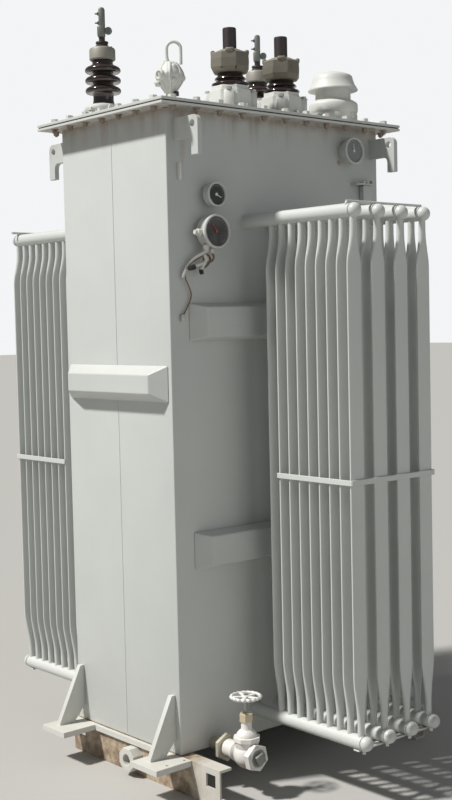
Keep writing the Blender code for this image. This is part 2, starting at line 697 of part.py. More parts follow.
def hv_terminal_mesh():
    """Cap, neck and stud with the clamp round it, and a round lug on the clamp's side."""
    top = HV_CAP_HEIGHT + HV_STUD_HEIGHT
    cap = [(0, top), (HV_STUD_RADIUS, top), (HV_STUD_RADIUS, HV_CAP_HEIGHT + HV_NECK_HEIGHT),
           (HV_NECK_RADIUS, HV_CAP_HEIGHT + HV_NECK_HEIGHT), (HV_NECK_RADIUS, HV_CAP_HEIGHT),
           (HV_CAP_RADIUS * 0.88, HV_CAP_HEIGHT), (HV_CAP_RADIUS, HV_CAP_HEIGHT * 0.85),
           (HV_CAP_RADIUS, 0), (0, 0)]
    clamp_height = HV_STUD_HEIGHT - HV_CLAMP_FOOT
    clamp = box_mesh((HV_CLAMP_WIDTH, HV_CLAMP_DEPTH, clamp_height + GAP),
                     (0, 0, HV_CAP_HEIGHT + HV_CLAMP_FOOT + (clamp_height + GAP) / 2))
    lug = turned_mesh([(0, HV_LUG_THICKNESS / 2), (HV_LUG_RADIUS, HV_LUG_THICKNESS / 2),
                       (HV_LUG_RADIUS, -HV_LUG_THICKNESS / 2), (0, -HV_LUG_THICKNESS / 2)], SMALL_SIDES)
    moved(lug, Matrix.Translation((HV_LUG_OUT, 0, HV_CAP_HEIGHT + HV_LUG_UP)) @ UPRIGHT)
    return combine(turned_mesh(cap), [clamp, lug])


def make_lv_bushing(number, x):
    """Eight-sided base with its collar, two-shed porcelain and the big terminal nut with its stud."""
    y = LV_FROM_SIDE - HALF_WIDTH
    base_z = COVER_TOP + GAP
    rim = LV_BASE_HEIGHT
    top = LV_BASE_HEIGHT + LV_COLLAR_HEIGHT
    base = [(0, top), (LV_COLLAR_RADIUS, top), (LV_COLLAR_RADIUS, rim), (LV_BASE_RADIUS, rim),
            (LV_BASE_RADIUS, 0), (0, 0)]
    mesh = moved(turned_mesh(base, 8), Matrix.Rotation(math.radians(22.5), 4, "Z"))
    place(f"lv_base_{number}", mesh, GREY, (x, y, base_z))
    height = LV_PORCELAIN_HEIGHT
    radius = LV_PORCELAIN_RADIUS
    upper = LV_UPPER_SHED_RADIUS
    lower = LV_SHED_RADIUS
    porcelain = [(0, height), (radius, height), (radius, height * 0.78), (upper, height * 0.62),
                 (upper, height * 0.5), (radius, height * 0.45), (lower, height * 0.26),
                 (lower, height * 0.08), (radius, 0), (0, 0)]
    body_z = base_z + top + GAP
    place(f"lv_porcelain_{number}", turned_mesh(porcelain), PORCELAIN, (x, y, body_z), smooth=True)
    nut_z = body_z + height + GAP
    nut = turned_mesh([(0, LV_NUT_HEIGHT), (LV_NUT_RADIUS * 0.82, LV_NUT_HEIGHT),
                       (LV_NUT_RADIUS, LV_NUT_HEIGHT * 0.93), (LV_NUT_RADIUS, LV_NUT_HEIGHT * 0.3),
                       (LV_NUT_RADIUS * 0.75, 0), (0, 0)], 8)
    stud = turned_mesh([(0, LV_NUT_HEIGHT + LV_STUD_HEIGHT), (LV_STUD_RADIUS, LV_NUT_HEIGHT + LV_STUD_HEIGHT),
                        (LV_STUD_RADIUS, LV_NUT_HEIGHT / 2), (0, LV_NUT_HEIGHT / 2)], SMALL_SIDES)
    place(f"lv_terminal_{number}", combine(nut, [stud]), CAST, (x, y, nut_z))


def make_relief():
    """Base ring and mushroom cap of the pressure relief device."""
    x = LV_X + RELIEF_FROM_BUSHING
    y = RELIEF_FROM_SIDE - HALF_WIDTH
    base_z = COVER_TOP + GAP
    edge = 0.008
    base = [(0, RELIEF_BASE_HEIGHT), (RELIEF_BASE_RADIUS - edge, RELIEF_BASE_HEIGHT),
            (RELIEF_BASE_RADIUS, RELIEF_BASE_HEIGHT - edge), (RELIEF_BASE_RADIUS, 0), (0, 0)]
    place("relief_base", turned_mesh(base), GREY, (x, y, base_z), smooth=True)
    cap_bottom = RELIEF_NECK_HEIGHT
    top = RELIEF_NECK_HEIGHT + RELIEF_CAP_HEIGHT
    cap = [(0, top), (RELIEF_CAP_RADIUS * 0.55, top - RELIEF_CAP_HEIGHT * 0.1),
           (RELIEF_CAP_RADIUS * 0.78, top - RELIEF_CAP_HEIGHT * 0.3),
           (RELIEF_CAP_RADIUS * 0.84, top - RELIEF_CAP_HEIGHT * 0.7), (RELIEF_CAP_RADIUS, cap_bottom + edge),
           (RELIEF_CAP_RADIUS, cap_bottom), (RELIEF_NECK_RADIUS, cap_bottom), (RELIEF_NECK_RADIUS, 0), (0, 0)]
    place("relief_cap", turned_mesh(cap), GREY,
          (x, y, base_z + RELIEF_BASE_HEIGHT + GAP), smooth=True)


def make_vent():
    """A small vent valve on the cover, with a cock on one side and a thin pipe bent over like a crook."""
    body_top = VENT_STEM_HEIGHT + VENT_BODY_HEIGHT
    waist = VENT_STEM_HEIGHT + VENT_BODY_HEIGHT * 0.45
    body = [(0, body_top), (VENT_BODY_RADIUS * 0.4, body_top),
            (VENT_BODY_RADIUS * 0.8, body_top - VENT_BODY_HEIGHT * 0.25), (VENT_BODY_RADIUS, waist),
            (VENT_BODY_RADIUS * 0.85, waist - VENT_BODY_HEIGHT * 0.2),
            (VENT_BODY_RADIUS * 0.5, VENT_STEM_HEIGHT), (VENT_STEM_RADIUS, VENT_STEM_HEIGHT * 0.9),
            (VENT_STEM_RADIUS, 0), (0, 0)]
    cock = turned_mesh([(0, VENT_COCK_REACH), (VENT_COCK_RADIUS, VENT_COCK_REACH), (VENT_COCK_RADIUS, 0),
                        (0, 0)], SMALL_SIDES)
    moved(cock, Matrix.Translation((0, 0, VENT_COCK_UP)) @ Matrix.Rotation(math.radians(-90), 4, "Y"))
    arch_z = body_top + VENT_PIPE_RISE
    start = -VENT_PIPE_BACK
    arch = arc((start + VENT_ARCH_RADIUS, arch_z), VENT_ARCH_RADIUS, 180, 0, 11)
    points = [(start, 0, waist)] + [(x, 0, z) for x, z in arch] + [(start + 2 * VENT_ARCH_RADIUS, 0,
                                                                    arch_z - VENT_PIPE_DROP)]
    pipe = tube_mesh(points, VENT_PIPE_RADIUS)
    mesh = combine(turned_mesh(body, SMALL_SIDES), [cock, pipe])
    x = VENT_FROM_END - HALF_LENGTH
    y = VENT_FROM_SIDE - HALF_WIDTH
    place("vent_fitting", mesh, GREY, (x, y, COVER_TOP + GAP), (0, 0, math.radians(VENT_TURN)), smooth=True)


def dial_profile(radius, depth, stem_radius, stand_off):
    """A round case on a stem, from its glass back to the wall."""
    total = stand_off + depth
    rim = radius * 0.08
    return [(0, total - rim), (radius - 2 * rim, total - rim), (radius - 2 * rim, total),
            (radius - rim, total), (radius, total - rim), (radius, stand_off),
            (stem_radius, stand_off), (stem_radius, GAP), (0, GAP)]


def place_gauge(name, profile, x, below_flange):
    place(name, turned_mesh(profile), GREY, (x, -HALF_WIDTH, FLANGE_UNDER - below_flange),
          TOWARDS_FRONT, smooth=True)


def make_gauges():
    small = dial_profile(SMALL_DIAL_RADIUS, SMALL_DIAL_DEPTH, DIAL_STEM_RADIUS, DIAL_STAND_OFF)
    place_gauge("thermometer_upper", small, DIAL_FROM_END - HALF_LENGTH, SMALL_DIAL_BELOW_FLANGE)
    large = dial_profile(LARGE_DIAL_RADIUS, LARGE_DIAL_DEPTH, DIAL_STEM_RADIUS, DIAL_STAND_OFF)
    place_gauge("thermometer_lower", large, LARGE_DIAL_FROM_END - HALF_LENGTH, LARGE_DIAL_BELOW_FLANGE)
    level = dial_profile(LEVEL_RADIUS, LEVEL_DEPTH, LEVEL_FLANGE_RADIUS, LEVEL_FLANGE_DEPTH)
    place_gauge("level_gauge", level, HALF_LENGTH - LEVEL_FROM_END, LEVEL_BELOW_FLANGE)


def smooth_route(points, per_span):
    """Points along a smooth curve through the given ones."""
    vectors = [Vector(p) for p in points]
    padded = [2 * vectors[0] - vectors[1]] + vectors + [2 * vectors[-1] - vectors[-2]]
    route = []
    for i in range(1, len(padded) - 2):
        a, b, c, d = padded[i - 1:i + 3]
        for k in range(per_span):
            t = k / per_span
            route.append(0.5 * (2 * b + (c - a) * t + (2 * a - 5 * b + 4 * c - d) * t * t
                                + (3 * b - a - 3 * c + d) * t ** 3))
    return route + [vectors[-1]]


def make_lead():
    """The lead from under the large dial to a clip on the wall near the corner."""
    dial_y = -HALF_WIDTH - DIAL_STAND_OFF - LARGE_DIAL_DEPTH / 2
    wall_y = -HALF_WIDTH - GAP - CLIP_DEPTH / 2
    start_x = LARGE_DIAL_FROM_END - HALF_LENGTH - LEAD_OFFSET
    clip_x = SIDE_STIFFENER_INSET - HALF_LENGTH - CLIP_PAST_STIFFENER
    clip_z = SIDE_STIFFENER_UPPER_Z + CLIP_ABOVE_STIFFENER
    under = math.sqrt(LARGE_DIAL_RADIUS ** 2 - (LEAD_OFFSET - LEAD_RADIUS) ** 2)
    start_z = FLANGE_UNDER - LARGE_DIAL_BELOW_FLANGE - under - 2 * GAP
    points = [(start_x, dial_y, start_z), (start_x, dial_y, start_z - 0.014),
              (start_x - 0.018, dial_y + 0.004, start_z - 0.032),
              (clip_x + 0.019, wall_y - 0.018, start_z - 0.060),
              (clip_x + 0.008, wall_y - 0.008, start_z - 0.096),
              (clip_x + 0.037, wall_y - 0.003, start_z - 0.156),
              (clip_x + 0.020, wall_y - 0.001, start_z - 0.200),
              (clip_x, wall_y, clip_z + CLIP_HEIGHT / 4)]
    lead = tube_mesh(smooth_route(points, 4), LEAD_RADIUS)
    clip = box_mesh((CLIP_WIDTH, CLIP_DEPTH, CLIP_HEIGHT), (clip_x, wall_y, clip_z))
    place("gauge_lead", combine(lead, [clip]), GREY)


def make_valve():
    """The drain valve: body out from the wall, bonnet above it, handwheel on a vertical stem."""
    union_end = VALVE_PIPE_LENGTH + VALVE_UNION_LENGTH
    outlet = VALVE_STEM_OUT + VALVE_BODY_RADIUS * 0.72
    tip = outlet + VALVE_OUTLET_LENGTH
    globe = [(VALVE_BODY_RADIUS * math.sin(a), VALVE_STEM_OUT + VALVE_BODY_RADIUS * math.cos(a))
             for a in (math.radians(45 + 18 * i) for i in range(6))]
    body = [(0, outlet + VALVE_OUTLET_LENGTH / 2)] + [(globe[0][0], outlet + VALVE_OUTLET_LENGTH / 2)] + globe
    body += [(VALVE_THROAT_RADIUS, union_end), (VALVE_PIPE_RADIUS, union_end),
             (VALVE_PIPE_RADIUS, GAP), (0, GAP)]
    casting = moved(turned_mesh(body), UPRIGHT)
    union = [(0, union_end), (VALVE_UNION_RADIUS, union_end), (VALVE_UNION_RADIUS, VALVE_PIPE_LENGTH),
             (0, VALVE_PIPE_LENGTH)]
    ring = [(0, tip), (VALVE_OUTLET_RADIUS, tip), (VALVE_OUTLET_RADIUS, outlet), (0, outlet)]
    neck = moved(turned_mesh([(0, VALVE_NECK_TOP), (VALVE_NECK_RADIUS, VALVE_NECK_TOP),
                              (VALVE_NECK_RADIUS, 0), (0, 0)]), Matrix.Translation((0, -VALVE_STEM_OUT, 0)))
    plug = box_mesh((VALVE_PLUG_WIDTH, 2 * VALVE_PLUG_LENGTH, VALVE_PLUG_WIDTH), (0, -tip, 0))
    pieces = [moved(turned_mesh(union, 6), UPRIGHT), moved(turned_mesh(ring, 6), UPRIGHT), neck, plug]
    place("drain_valve_body", combine(casting, pieces), GREY, (-VALVE_X, -HALF_WIDTH, VALVE_Z), smooth=True)
    stem_y = -HALF_WIDTH - VALVE_STEM_OUT
    bonnet_z = VALVE_Z + VALVE_NECK_TOP + GAP
    dome = BONNET_FLANGE_THICKNESS + BONNET_DOME_HEIGHT
    gland = dome + BONNET_NECK_HEIGHT
    bonnet = [(0, gland + GLAND_HEIGHT), (GLAND_RADIUS * 0.8, gland + GLAND_HEIGHT),
              (GLAND_RADIUS, gland + GLAND_HEIGHT * 0.85), (GLAND_RADIUS, gland), (BONNET_NECK_RADIUS, gland),
              (BONNET_NECK_RADIUS, dome), (BONNET_DOME_RADIUS * 0.8, dome - BONNET_DOME_HEIGHT * 0.25),
              (BONNET_DOME_RADIUS, BONNET_FLANGE_THICKNESS), (BONNET_FLANGE_RADIUS, BONNET_FLANGE_THICKNESS),
              (BONNET_FLANGE_RADIUS, 0), (0, 0)]
    place("drain_valve_bonnet", turned_mesh(bonnet), GREY, (-VALVE_X, stem_y, bonnet_z), smooth=True)
    make_handwheel(stem_y, bonnet_z + gland + GLAND_HEIGHT + GAP)


def make_handwheel(stem_y, stem_z):
    """Rim, spokes, hub and stem in one piece. Its origin is on the stem's axis."""
    top = STEM_HEIGHT + WHEEL_HUB_HEIGHT
    stem = turned_mesh([(0, top), (WHEEL_HUB_RADIUS, top), (WHEEL_HUB_RADIUS, STEM_HEIGHT),
                        (STEM_RADIUS, STEM_HEIGHT), (STEM_RADIUS, 0), (0, 0)], SMALL_SIDES)
    rim_z = STEM_HEIGHT + WHEEL_HUB_HEIGHT / 2
    reach = WHEEL_RADIUS - WHEEL_RIM_RADIUS
    circle = [(reach + WHEEL_RIM_RADIUS * math.cos(a), rim_z + WHEEL_RIM_RADIUS * math.sin(a))
              for a in (math.radians(45 * i) for i in range(8, -1, -1))]
    rim = turned_mesh(circle, ROUND_SIDES)
    spokes = []
    for i in range(WHEEL_SPOKES):
        spoke = box_mesh((reach, SPOKE_WIDTH, SPOKE_THICKNESS), (reach / 2, 0, 0))
        turn = Matrix.Rotation(2 * math.pi * i / WHEEL_SPOKES, 4, "Z")
        spokes.append(moved(spoke, Matrix.Translation((0, 0, rim_z)) @ turn))
    wheel = combine(stem, spokes + [rim])
    place("drain_valve_handwheel", wheel, GREY, (-VALVE_X, stem_y, stem_z), smooth=True)


clear_scene()
PART = make_collection("power_transformer")
CUTTERS = make_collection("cutters")
GREY = paint("grey_paint", (0.62, 0.64, 0.62), 0.45)
RUBBER = paint("black_gasket", (0.03, 0.03, 0.03), 0.8)
PORCELAIN = paint("brown_porcelain", (0.05, 0.025, 0.02), 0.2)
CAST = paint("grey_bronze", (0.28, 0.25, 0.22), 0.5, 0.6)

make_skids()
make_coupling()
make_jacking_brackets()
make_tank()
make_top()
make_stiffeners()
make_lugs()
make_radiators()
make_ties()
for bushing, side in ((1, -1), (2, 1)):
    make_hv_bushing(bushing, side * (HALF_LENGTH - HV_FROM_END))
    make_lv_bushing(bushing, side * LV_X)
make_relief()
make_vent()
make_gauges()
make_lead()
make_valve()
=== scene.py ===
import math
import bmesh
import bpy
from mathutils import Matrix, Vector


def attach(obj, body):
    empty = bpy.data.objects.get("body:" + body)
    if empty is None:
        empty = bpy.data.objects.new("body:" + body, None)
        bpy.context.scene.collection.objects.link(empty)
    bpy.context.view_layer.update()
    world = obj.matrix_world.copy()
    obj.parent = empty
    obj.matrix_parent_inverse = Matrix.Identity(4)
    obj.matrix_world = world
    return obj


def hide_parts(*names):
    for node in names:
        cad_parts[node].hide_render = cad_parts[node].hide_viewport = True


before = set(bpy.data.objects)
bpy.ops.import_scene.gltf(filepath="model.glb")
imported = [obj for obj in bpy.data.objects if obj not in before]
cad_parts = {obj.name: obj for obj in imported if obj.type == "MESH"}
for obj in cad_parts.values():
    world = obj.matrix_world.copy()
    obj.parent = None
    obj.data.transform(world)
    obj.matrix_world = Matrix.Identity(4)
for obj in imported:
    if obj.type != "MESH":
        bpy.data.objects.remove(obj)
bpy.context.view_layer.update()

# The tank and what the pieces are measured from, in metres
tank = {"halfLength": 0.51, "halfWidth": 0.305, "floor": 0.127, "flangeUnder": 2.297, "coverTop": 2.3189,
    "overhang": 0.063}
wallY = -tank["halfWidth"]
gap = 0.0003  # between stacked solids
tuck = 0.0004  # keeps a face just inside the solid's own
onCover = tank["coverTop"] + gap


# camera, lights and floor

camera = {"place": (-3.106, -3.59, 1.587), "yaw": 0.7114, "pitch": 0.0613, "roll": -0.0226, "lens": 56.77}


def makeCamera():
    yaw, pitch, roll = camera["yaw"], camera["pitch"], camera["roll"]
    ahead = Vector((math.sin(yaw) * math.cos(pitch), math.cos(yaw) * math.cos(pitch), -math.sin(pitch)))
    level = Vector((math.cos(yaw), -math.sin(yaw), 0))
    above = level.cross(ahead)
    right = level * math.cos(roll) + above * math.sin(roll)
    up = above * math.cos(roll) - level * math.sin(roll)
    data = bpy.data.cameras.new("mainView")
    data.sensor_fit = "VERTICAL"
    data.sensor_height = 36
    data.lens = camera["lens"]
    view = bpy.data.objects.new("mainView", data)
    turn = Matrix((right, up, -ahead)).transposed().to_4x4()
    view.matrix_world = Matrix.Translation(camera["place"]) @ turn
    bpy.context.scene.collection.objects.link(view)
    bpy.context.scene.camera = view


lights = {"sunFrom": (-0.5477, 0.263, 0.794), "sunStrength": 4.45, "sunAngle": 4.5,
    "sunColour": (1.0, 0.985, 0.95), "frontPlace": (0.5, -7.0, 3.0), "frontSize": 4.0, "frontWatts": 30,
    "frontColour": (0.95, 0.98, 1.0), "aim": (0, 0, 1.2), "sunAway": 8, "air": (0.92, 0.96, 1.0, 1),
    "airStrength": 0.2, "backdrop": (0.9, 0.91, 0.92, 1)}


def makeLights():
    aim = Vector(lights["aim"])
    sun = bpy.data.lights.new("sunLight", "SUN")
    sun.energy = lights["sunStrength"]
    sun.angle = math.radians(lights["sunAngle"])
    sun.color = lights["sunColour"]
    front = bpy.data.lights.new("frontLight", "AREA")
    front.size = lights["frontSize"]
    front.energy = lights["frontWatts"]
    front.color = lights["frontColour"]
    sunPlace = Vector(lights["sunFrom"]) * lights["sunAway"] + aim
    for data, place in ((sun, sunPlace), (front, Vector(lights["frontPlace"]))):
        lamp = bpy.data.objects.new(data.name, data)
        turn = (aim - place).to_track_quat("-Z", "Y").to_matrix().to_4x4()
        lamp.matrix_world = Matrix.Translation(place) @ turn
        bpy.context.scene.collection.objects.link(lamp)
    world = bpy.data.worlds.new("softAir")
    world.use_nodes = True
    tree = world.node_tree
    light = tree.nodes["Background"]
    light.inputs["Color"].default_value = lights["air"]
    light.inputs["Strength"].default_value = lights["airStrength"]
    seen = addNode(tree, "Background", {"Color": lights["backdrop"]})
    path = addNode(tree, "LightPath", {}).outputs
    either = mathNode(tree, "MAXIMUM", path["Is Camera Ray"], path["Is Transmission Ray"])
    mix = addNode(tree, "MixShader", {0: either, 1: light.outputs[0], 2: seen.outputs[0]})
    tree.links.new(mix.outputs[0], tree.nodes["World Output"].inputs["Surface"])
    bpy.context.scene.world = world


ground = {"size": 60, "colour": (0.43, 0.42, 0.4, 1), "rough": 0.9}


def makeFloor():
    bm = bmesh.new()
    bmesh.ops.create_grid(bm, x_segments=1, y_segments=1, size=ground["size"])
    mesh = bpy.data.meshes.new("floor")
    bm.to_mesh(mesh)
    bm.free()
    floor = bpy.data.objects.new("floor", mesh)
    bpy.context.scene.collection.objects.link(floor)
    inputs = newMaterial("paleFloor")[1]
    inputs["Base Color"].default_value = ground["colour"]
    inputs["Roughness"].default_value = ground["rough"]
    mesh.materials.append(paints["paleFloor"])


# shader groups: each one puts out colours, masks or heights


def makeGroup(name, inputs, outputs):
    tree = bpy.data.node_groups.new(name, "ShaderNodeTree")
    for label, value in inputs.items():
        kind = "NodeSocketColor" if isinstance(value, tuple) else "NodeSocketFloat"
        tree.interface.new_socket(label, in_out="INPUT", socket_type=kind).default_value = value
    for label in outputs:
        kind = "NodeSocketColor" if label == "Color" else "NodeSocketFloat"
        tree.interface.new_socket(label, in_out="OUTPUT", socket_type=kind)
    given = tree.nodes.new("NodeGroupInput").outputs
    return tree, given, tree.nodes.new("NodeGroupOutput").inputs


def feed(tree, socket, value):
    if isinstance(value, bpy.types.NodeSocket):
        tree.links.new(value, socket)
    else:
        socket.default_value = value


def addNode(tree, kind, inputs, **settings):
    node = tree.nodes.new("ShaderNode" + kind)
    for key, value in settings.items():
        setattr(node, key, value)
    for key, value in inputs.items():
        feed(tree, node.inputs[key], value)
    return node


def mathNode(tree, operation, first, second=0.0):
    return addNode(tree, "Math", {0: first, 1: second}, operation=operation).outputs[0]


def times(tree, result, *factors):
    for factor in factors:
        result = mathNode(tree, "MULTIPLY", result, factor)
    return result


def plus(tree, first, second):
    return mathNode(tree, "ADD", first, second)


def minus(tree, first, second):
    return mathNode(tree, "SUBTRACT", first, second)


def rangeNode(tree, value, low, high, newLow=0.0, newHigh=1.0):
    inputs = {"Value": value, "From Min": low, "From Max": high, "To Min": newLow, "To Max": newHigh}
    return addNode(tree, "MapRange", inputs, clamp=True).outputs["Result"]


def mixColour(tree, factor, first, second, blend="MIX"):
    inputs = {0: factor, 6: first, 7: second}
    return addNode(tree, "Mix", inputs, data_type="RGBA", blend_type=blend).outputs[2]


def noiseNode(tree, vector, scale, detail=3.0, roughness=0.55, distortion=0.0):
    inputs = {"Vector": vector, "Scale": scale, "Detail": detail, "Roughness": roughness,
        "Distortion": distortion}
    return addNode(tree, "TexNoise", inputs, noise_dimensions="3D").outputs["Fac"]


def objectPlace(tree):
    return addNode(tree, "TexCoord", {}).outputs["Object"]


def axesOf(tree, vector):
    return addNode(tree, "SeparateXYZ", {"Vector": vector}).outputs


def facing(tree, low, high):
    normal = addNode(tree, "NewGeometry", {}).outputs["Normal"]
    return rangeNode(tree, axesOf(tree, normal)["Z"], low, high)


def makeAgedTone():
    # slow changes of tone in old paint, with pale dust on what faces up
    inputs = {"Paint": (0.6, 0.6, 0.6, 1), "Dust": (0.6, 0.55, 0.45, 1), "Dust Amount": 0.3, "Change": 0.08,
        "Scale": 3.0}
    tree, given, out = makeGroup("agedTone", inputs, ("Color", "Dust Mask"))
    place = objectPlace(tree)
    slow = noiseNode(tree, place, given["Scale"], 4.0, 0.6)
    level = plus(tree, times(tree, minus(tree, slow, 0.5), given["Change"], 3.0), 1.0)
    grey = addNode(tree, "CombineColor", {"Red": level, "Green": level, "Blue": level}).outputs[0]
    toned = mixColour(tree, 1.0, given["Paint"], grey, "MULTIPLY")
    patch = rangeNode(tree, noiseNode(tree, place, 22.0, 5.0, 0.6), 0.35, 0.65, 0.35, 1.0)
    dust = times(tree, facing(tree, 0.35, 0.95), patch, given["Dust Amount"])
    feed(tree, out["Color"], mixColour(tree, dust, toned, given["Dust"]))
    feed(tree, out["Dust Mask"], dust)


def makeRustPatches():
    # broken patches of rust
    tree, given, out = makeGroup("rustPatches", {"Amount": 0.3, "Scale": 12.0}, ("Mask", "Color"))
    place = objectPlace(tree)
    field = noiseNode(tree, place, given["Scale"], 9.0, 0.66, 0.3)
    edge = minus(tree, 0.78, times(tree, given["Amount"], 0.5))
    feed(tree, out["Mask"], rangeNode(tree, field, edge, plus(tree, edge, 0.09)))
    shade = rangeNode(tree, noiseNode(tree, place, 60.0, 5.0, 0.7), 0.3, 0.7)
    feed(tree, out["Color"], mixColour(tree, shade, dirt["rustDark"], dirt["rustPale"]))


def makeRunningStain():
    # stains that run down from a seam
    inputs = {"Top": 2.3, "Length": 0.12, "Scale": 24.0, "Amount": 0.6}
    tree, given, out = makeGroup("runningStain", inputs, ("Mask",))
    place = objectPlace(tree)
    long = addNode(tree, "Mapping", {"Vector": place, "Scale": (1.0, 1.0, 0.05)}).outputs[0]
    runs = noiseNode(tree, long, given["Scale"], 4.0, 0.6)
    height = axesOf(tree, place)["Z"]
    drop = times(tree, given["Length"], rangeNode(tree, runs, 0.35, 0.7, 0.5, 2.2))
    fade = rangeNode(tree, height, minus(tree, given["Top"], drop), given["Top"])
    spots = rangeNode(tree, runs, 0.44, 0.64, 0.25, 1.0)
    below = mathNode(tree, "LESS_THAN", height, plus(tree, given["Top"], 0.0005))
    feed(tree, out["Mask"], times(tree, mathNode(tree, "POWER", fade, 1.6), spots, below, given["Amount"]))


def makeGroundSplash():
    # splashed dirt near the ground
    tree, given, out = makeGroup("groundSplash", {"Height": 0.7, "Amount": 0.4}, ("Mask",))
    place = objectPlace(tree)
    fade = rangeNode(tree, axesOf(tree, place)["Z"], given["Height"], 0.05)
    speck = rangeNode(tree, noiseNode(tree, place, 34.0, 7.0, 0.7), 0.38, 0.68, 0.25, 1.0)
    feed(tree, out["Mask"], times(tree, mathNode(tree, "POWER", fade, 1.7), speck, given["Amount"]))


def makeSkinRelief():
    # fine unevenness: brushed paint or cast skin
    inputs = {"Fine": 240.0, "Broad": 16.0, "Broad Share": 1.2}
    tree, given, out = makeGroup("skinRelief", inputs, ("Height",))
    place = objectPlace(tree)
    fine = noiseNode(tree, place, given["Fine"], 2.0)
    broad = noiseNode(tree, place, given["Broad"], 3.0)
    feed(tree, out["Height"], plus(tree, times(tree, broad, given["Broad Share"]), fine))


# materials

# the dark brown on the skid web under the tank is partly rust and partly painted shade
dirt = {"rustDark": (0.085, 0.038, 0.018, 1), "rustPale": (0.25, 0.125, 0.055, 1),
    "run": (0.235, 0.15, 0.09, 1), "smear": (0.3, 0.17, 0.09, 1), "band": (0.3, 0.2, 0.12, 1),
    "splash": (0.4, 0.33, 0.24, 1), "rustShadeDark": (0.17, 0.105, 0.06, 1), "rustShadePale": (0.46, 0.36, 0.25, 1),
    "under": (0.24, 0.105, 0.045, 1), "glassDust": (0.3, 0.27, 0.24, 1)}

columns = ("paint", "dust", "dustAmount", "change", "rough", "rust", "rustScale", "metal", "relief")
ordinary = {"rust": 0, "metal": 0, "relief": 0.12}  # what the shorter rows leave out
finishes = {"tankPaint": ((0.545, 0.565, 0.55), (0.6, 0.58, 0.52), 0.35, 0.05, 0.42),
    "flangePaint": ((0.6, 0.615, 0.59), (0.6, 0.54, 0.44), 0.45, 0.06, 0.46, 0.14, 20.0),
    "coverPaint": ((0.565, 0.585, 0.565), (0.62, 0.6, 0.54), 0.45, 0.06, 0.46, 0.2, 18.0),
    "radiatorPaint": ((0.575, 0.595, 0.58), (0.62, 0.6, 0.55), 0.4, 0.05, 0.38),
    "basePaint": ((0.59, 0.6, 0.575), (0.62, 0.57, 0.47), 0.45, 0.07, 0.5, 0.14, 16.0),
    "skidPaint": ((0.54, 0.53, 0.49), (0.6, 0.55, 0.46), 0.4, 0.1, 0.62, 0.3, 12.0),
    "whiteCasting": ((0.64, 0.65, 0.62), (0.56, 0.52, 0.44), 0.35, 0.12, 0.5, 0.1, 40.0, 0, 0.35),
    "valvePaint": ((0.67, 0.65, 0.62), (0.66, 0.62, 0.54), 0.35, 0.14, 0.48, 0.16, 34.0, 0, 0.4),
    "wheelPaint": ((0.69, 0.69, 0.67), (0.7, 0.66, 0.58), 0.2, 0.08, 0.4, 0.1, 60.0),
    "boltZinc": ((0.56, 0.56, 0.53), (0.5, 0.42, 0.32), 0.3, 0.16, 0.42, 0.22, 55.0, 0.55, 0.12),
    "nutSteel": ((0.33, 0.29, 0.25), (0.4, 0.33, 0.26), 0.2, 0.2, 0.55, 0.45, 60.0, 0.35, 0.12),
    "gaugeCase": ((0.56, 0.575, 0.56), (0.6, 0.57, 0.5), 0.3, 0.08, 0.4),
    "whiteConduit": ((0.62, 0.62, 0.59), (0.6, 0.55, 0.45), 0.25, 0.1, 0.45),
    "brownCable": ((0.2, 0.125, 0.085), (0.4, 0.33, 0.25), 0.3, 0.16, 0.6),
    "blackPlugAndShade": ((0.028, 0.028, 0.03), (0.3, 0.28, 0.25), 0.18, 0.1, 0.45),
    "gasketRubber": ((0.022, 0.022, 0.022), (0.2, 0.18, 0.15), 0.2, 0.2, 0.85),
    "nutBronze": ((0.2, 0.185, 0.15), (0.38, 0.37, 0.31), 0.6, 0.38, 0.62, 0.28, 24.0, 0.3, 0.35),
    "studCopper": ((0.072, 0.06, 0.06), (0.16, 0.14, 0.13), 0.15, 0.22, 0.45, 0, 0, 0.55, 0.2),
    "capCasting": ((0.33, 0.315, 0.275), (0.5, 0.46, 0.38), 0.35, 0.2, 0.55, 0.15, 40.0, 0.25, 0.18),
    "clampAluminium": ((0.225, 0.235, 0.215), (0.4, 0.37, 0.32), 0.2, 0.22, 0.45, 0, 0, 0.5, 0.12),
    "paleBrass": ((0.5, 0.47, 0.37), (0.5, 0.46, 0.38), 0.35, 0.2, 0.5, 0.3, 40.0, 0.25, 0.3),
    "agedBrass": ((0.53, 0.46, 0.33), (0.55, 0.5, 0.4), 0.35, 0.2, 0.5, 0.22, 40.0, 0.35, 0.3)}
extras = {"tankPaint": {"stainTop": tank["flangeUnder"], "stainLength": 0.07, "stain": 0.5, "splash": 0.14,
    "splashHeight": 0.55, "band": 0.55, "bandFrom": 0.03, "bandTo": 0.006,
    "smears": ((-0.442, 2.19, 0.016, 0.085, 0.34), (0.303, 2.166, 0.013, 0.014, 0.85),
    (-0.445, 2.265, 0.022, 0.03, 0.45))}, "flangePaint": {"underRustAndShade": 0.42},
    "radiatorPaint": {"splash": 0.28, "splashHeight": 0.42},
    "basePaint": {"splash": 0.35, "splashHeight": 0.32},
    "skidPaint": {"splash": 0.4, "splashHeight": 0.22, "rustShadeFrom": -0.42, "rustShadeTo": -0.34, "rustShadeShare": 0.88},
    "valvePaint": {"underRustAndShade": 1.0}}
surface = {"toneScale": 3.2, "dustRough": 0.35, "rustRough": 0.28, "bumpDistance": 0.002}
paints = {}


def newMaterial(name):
    material = bpy.data.materials.new(name)
    material.use_nodes = True
    paints[name] = material
    return material.node_tree, material.node_tree.nodes["Principled BSDF"].inputs


def useGroup(tree, name, **values):
    node = tree.nodes.new("ShaderNodeGroup")
    node.node_tree = bpy.data.node_groups[name]
    for label, value in values.items():
        node.inputs[label.replace("_", " ")].default_value = value
    return node.outputs


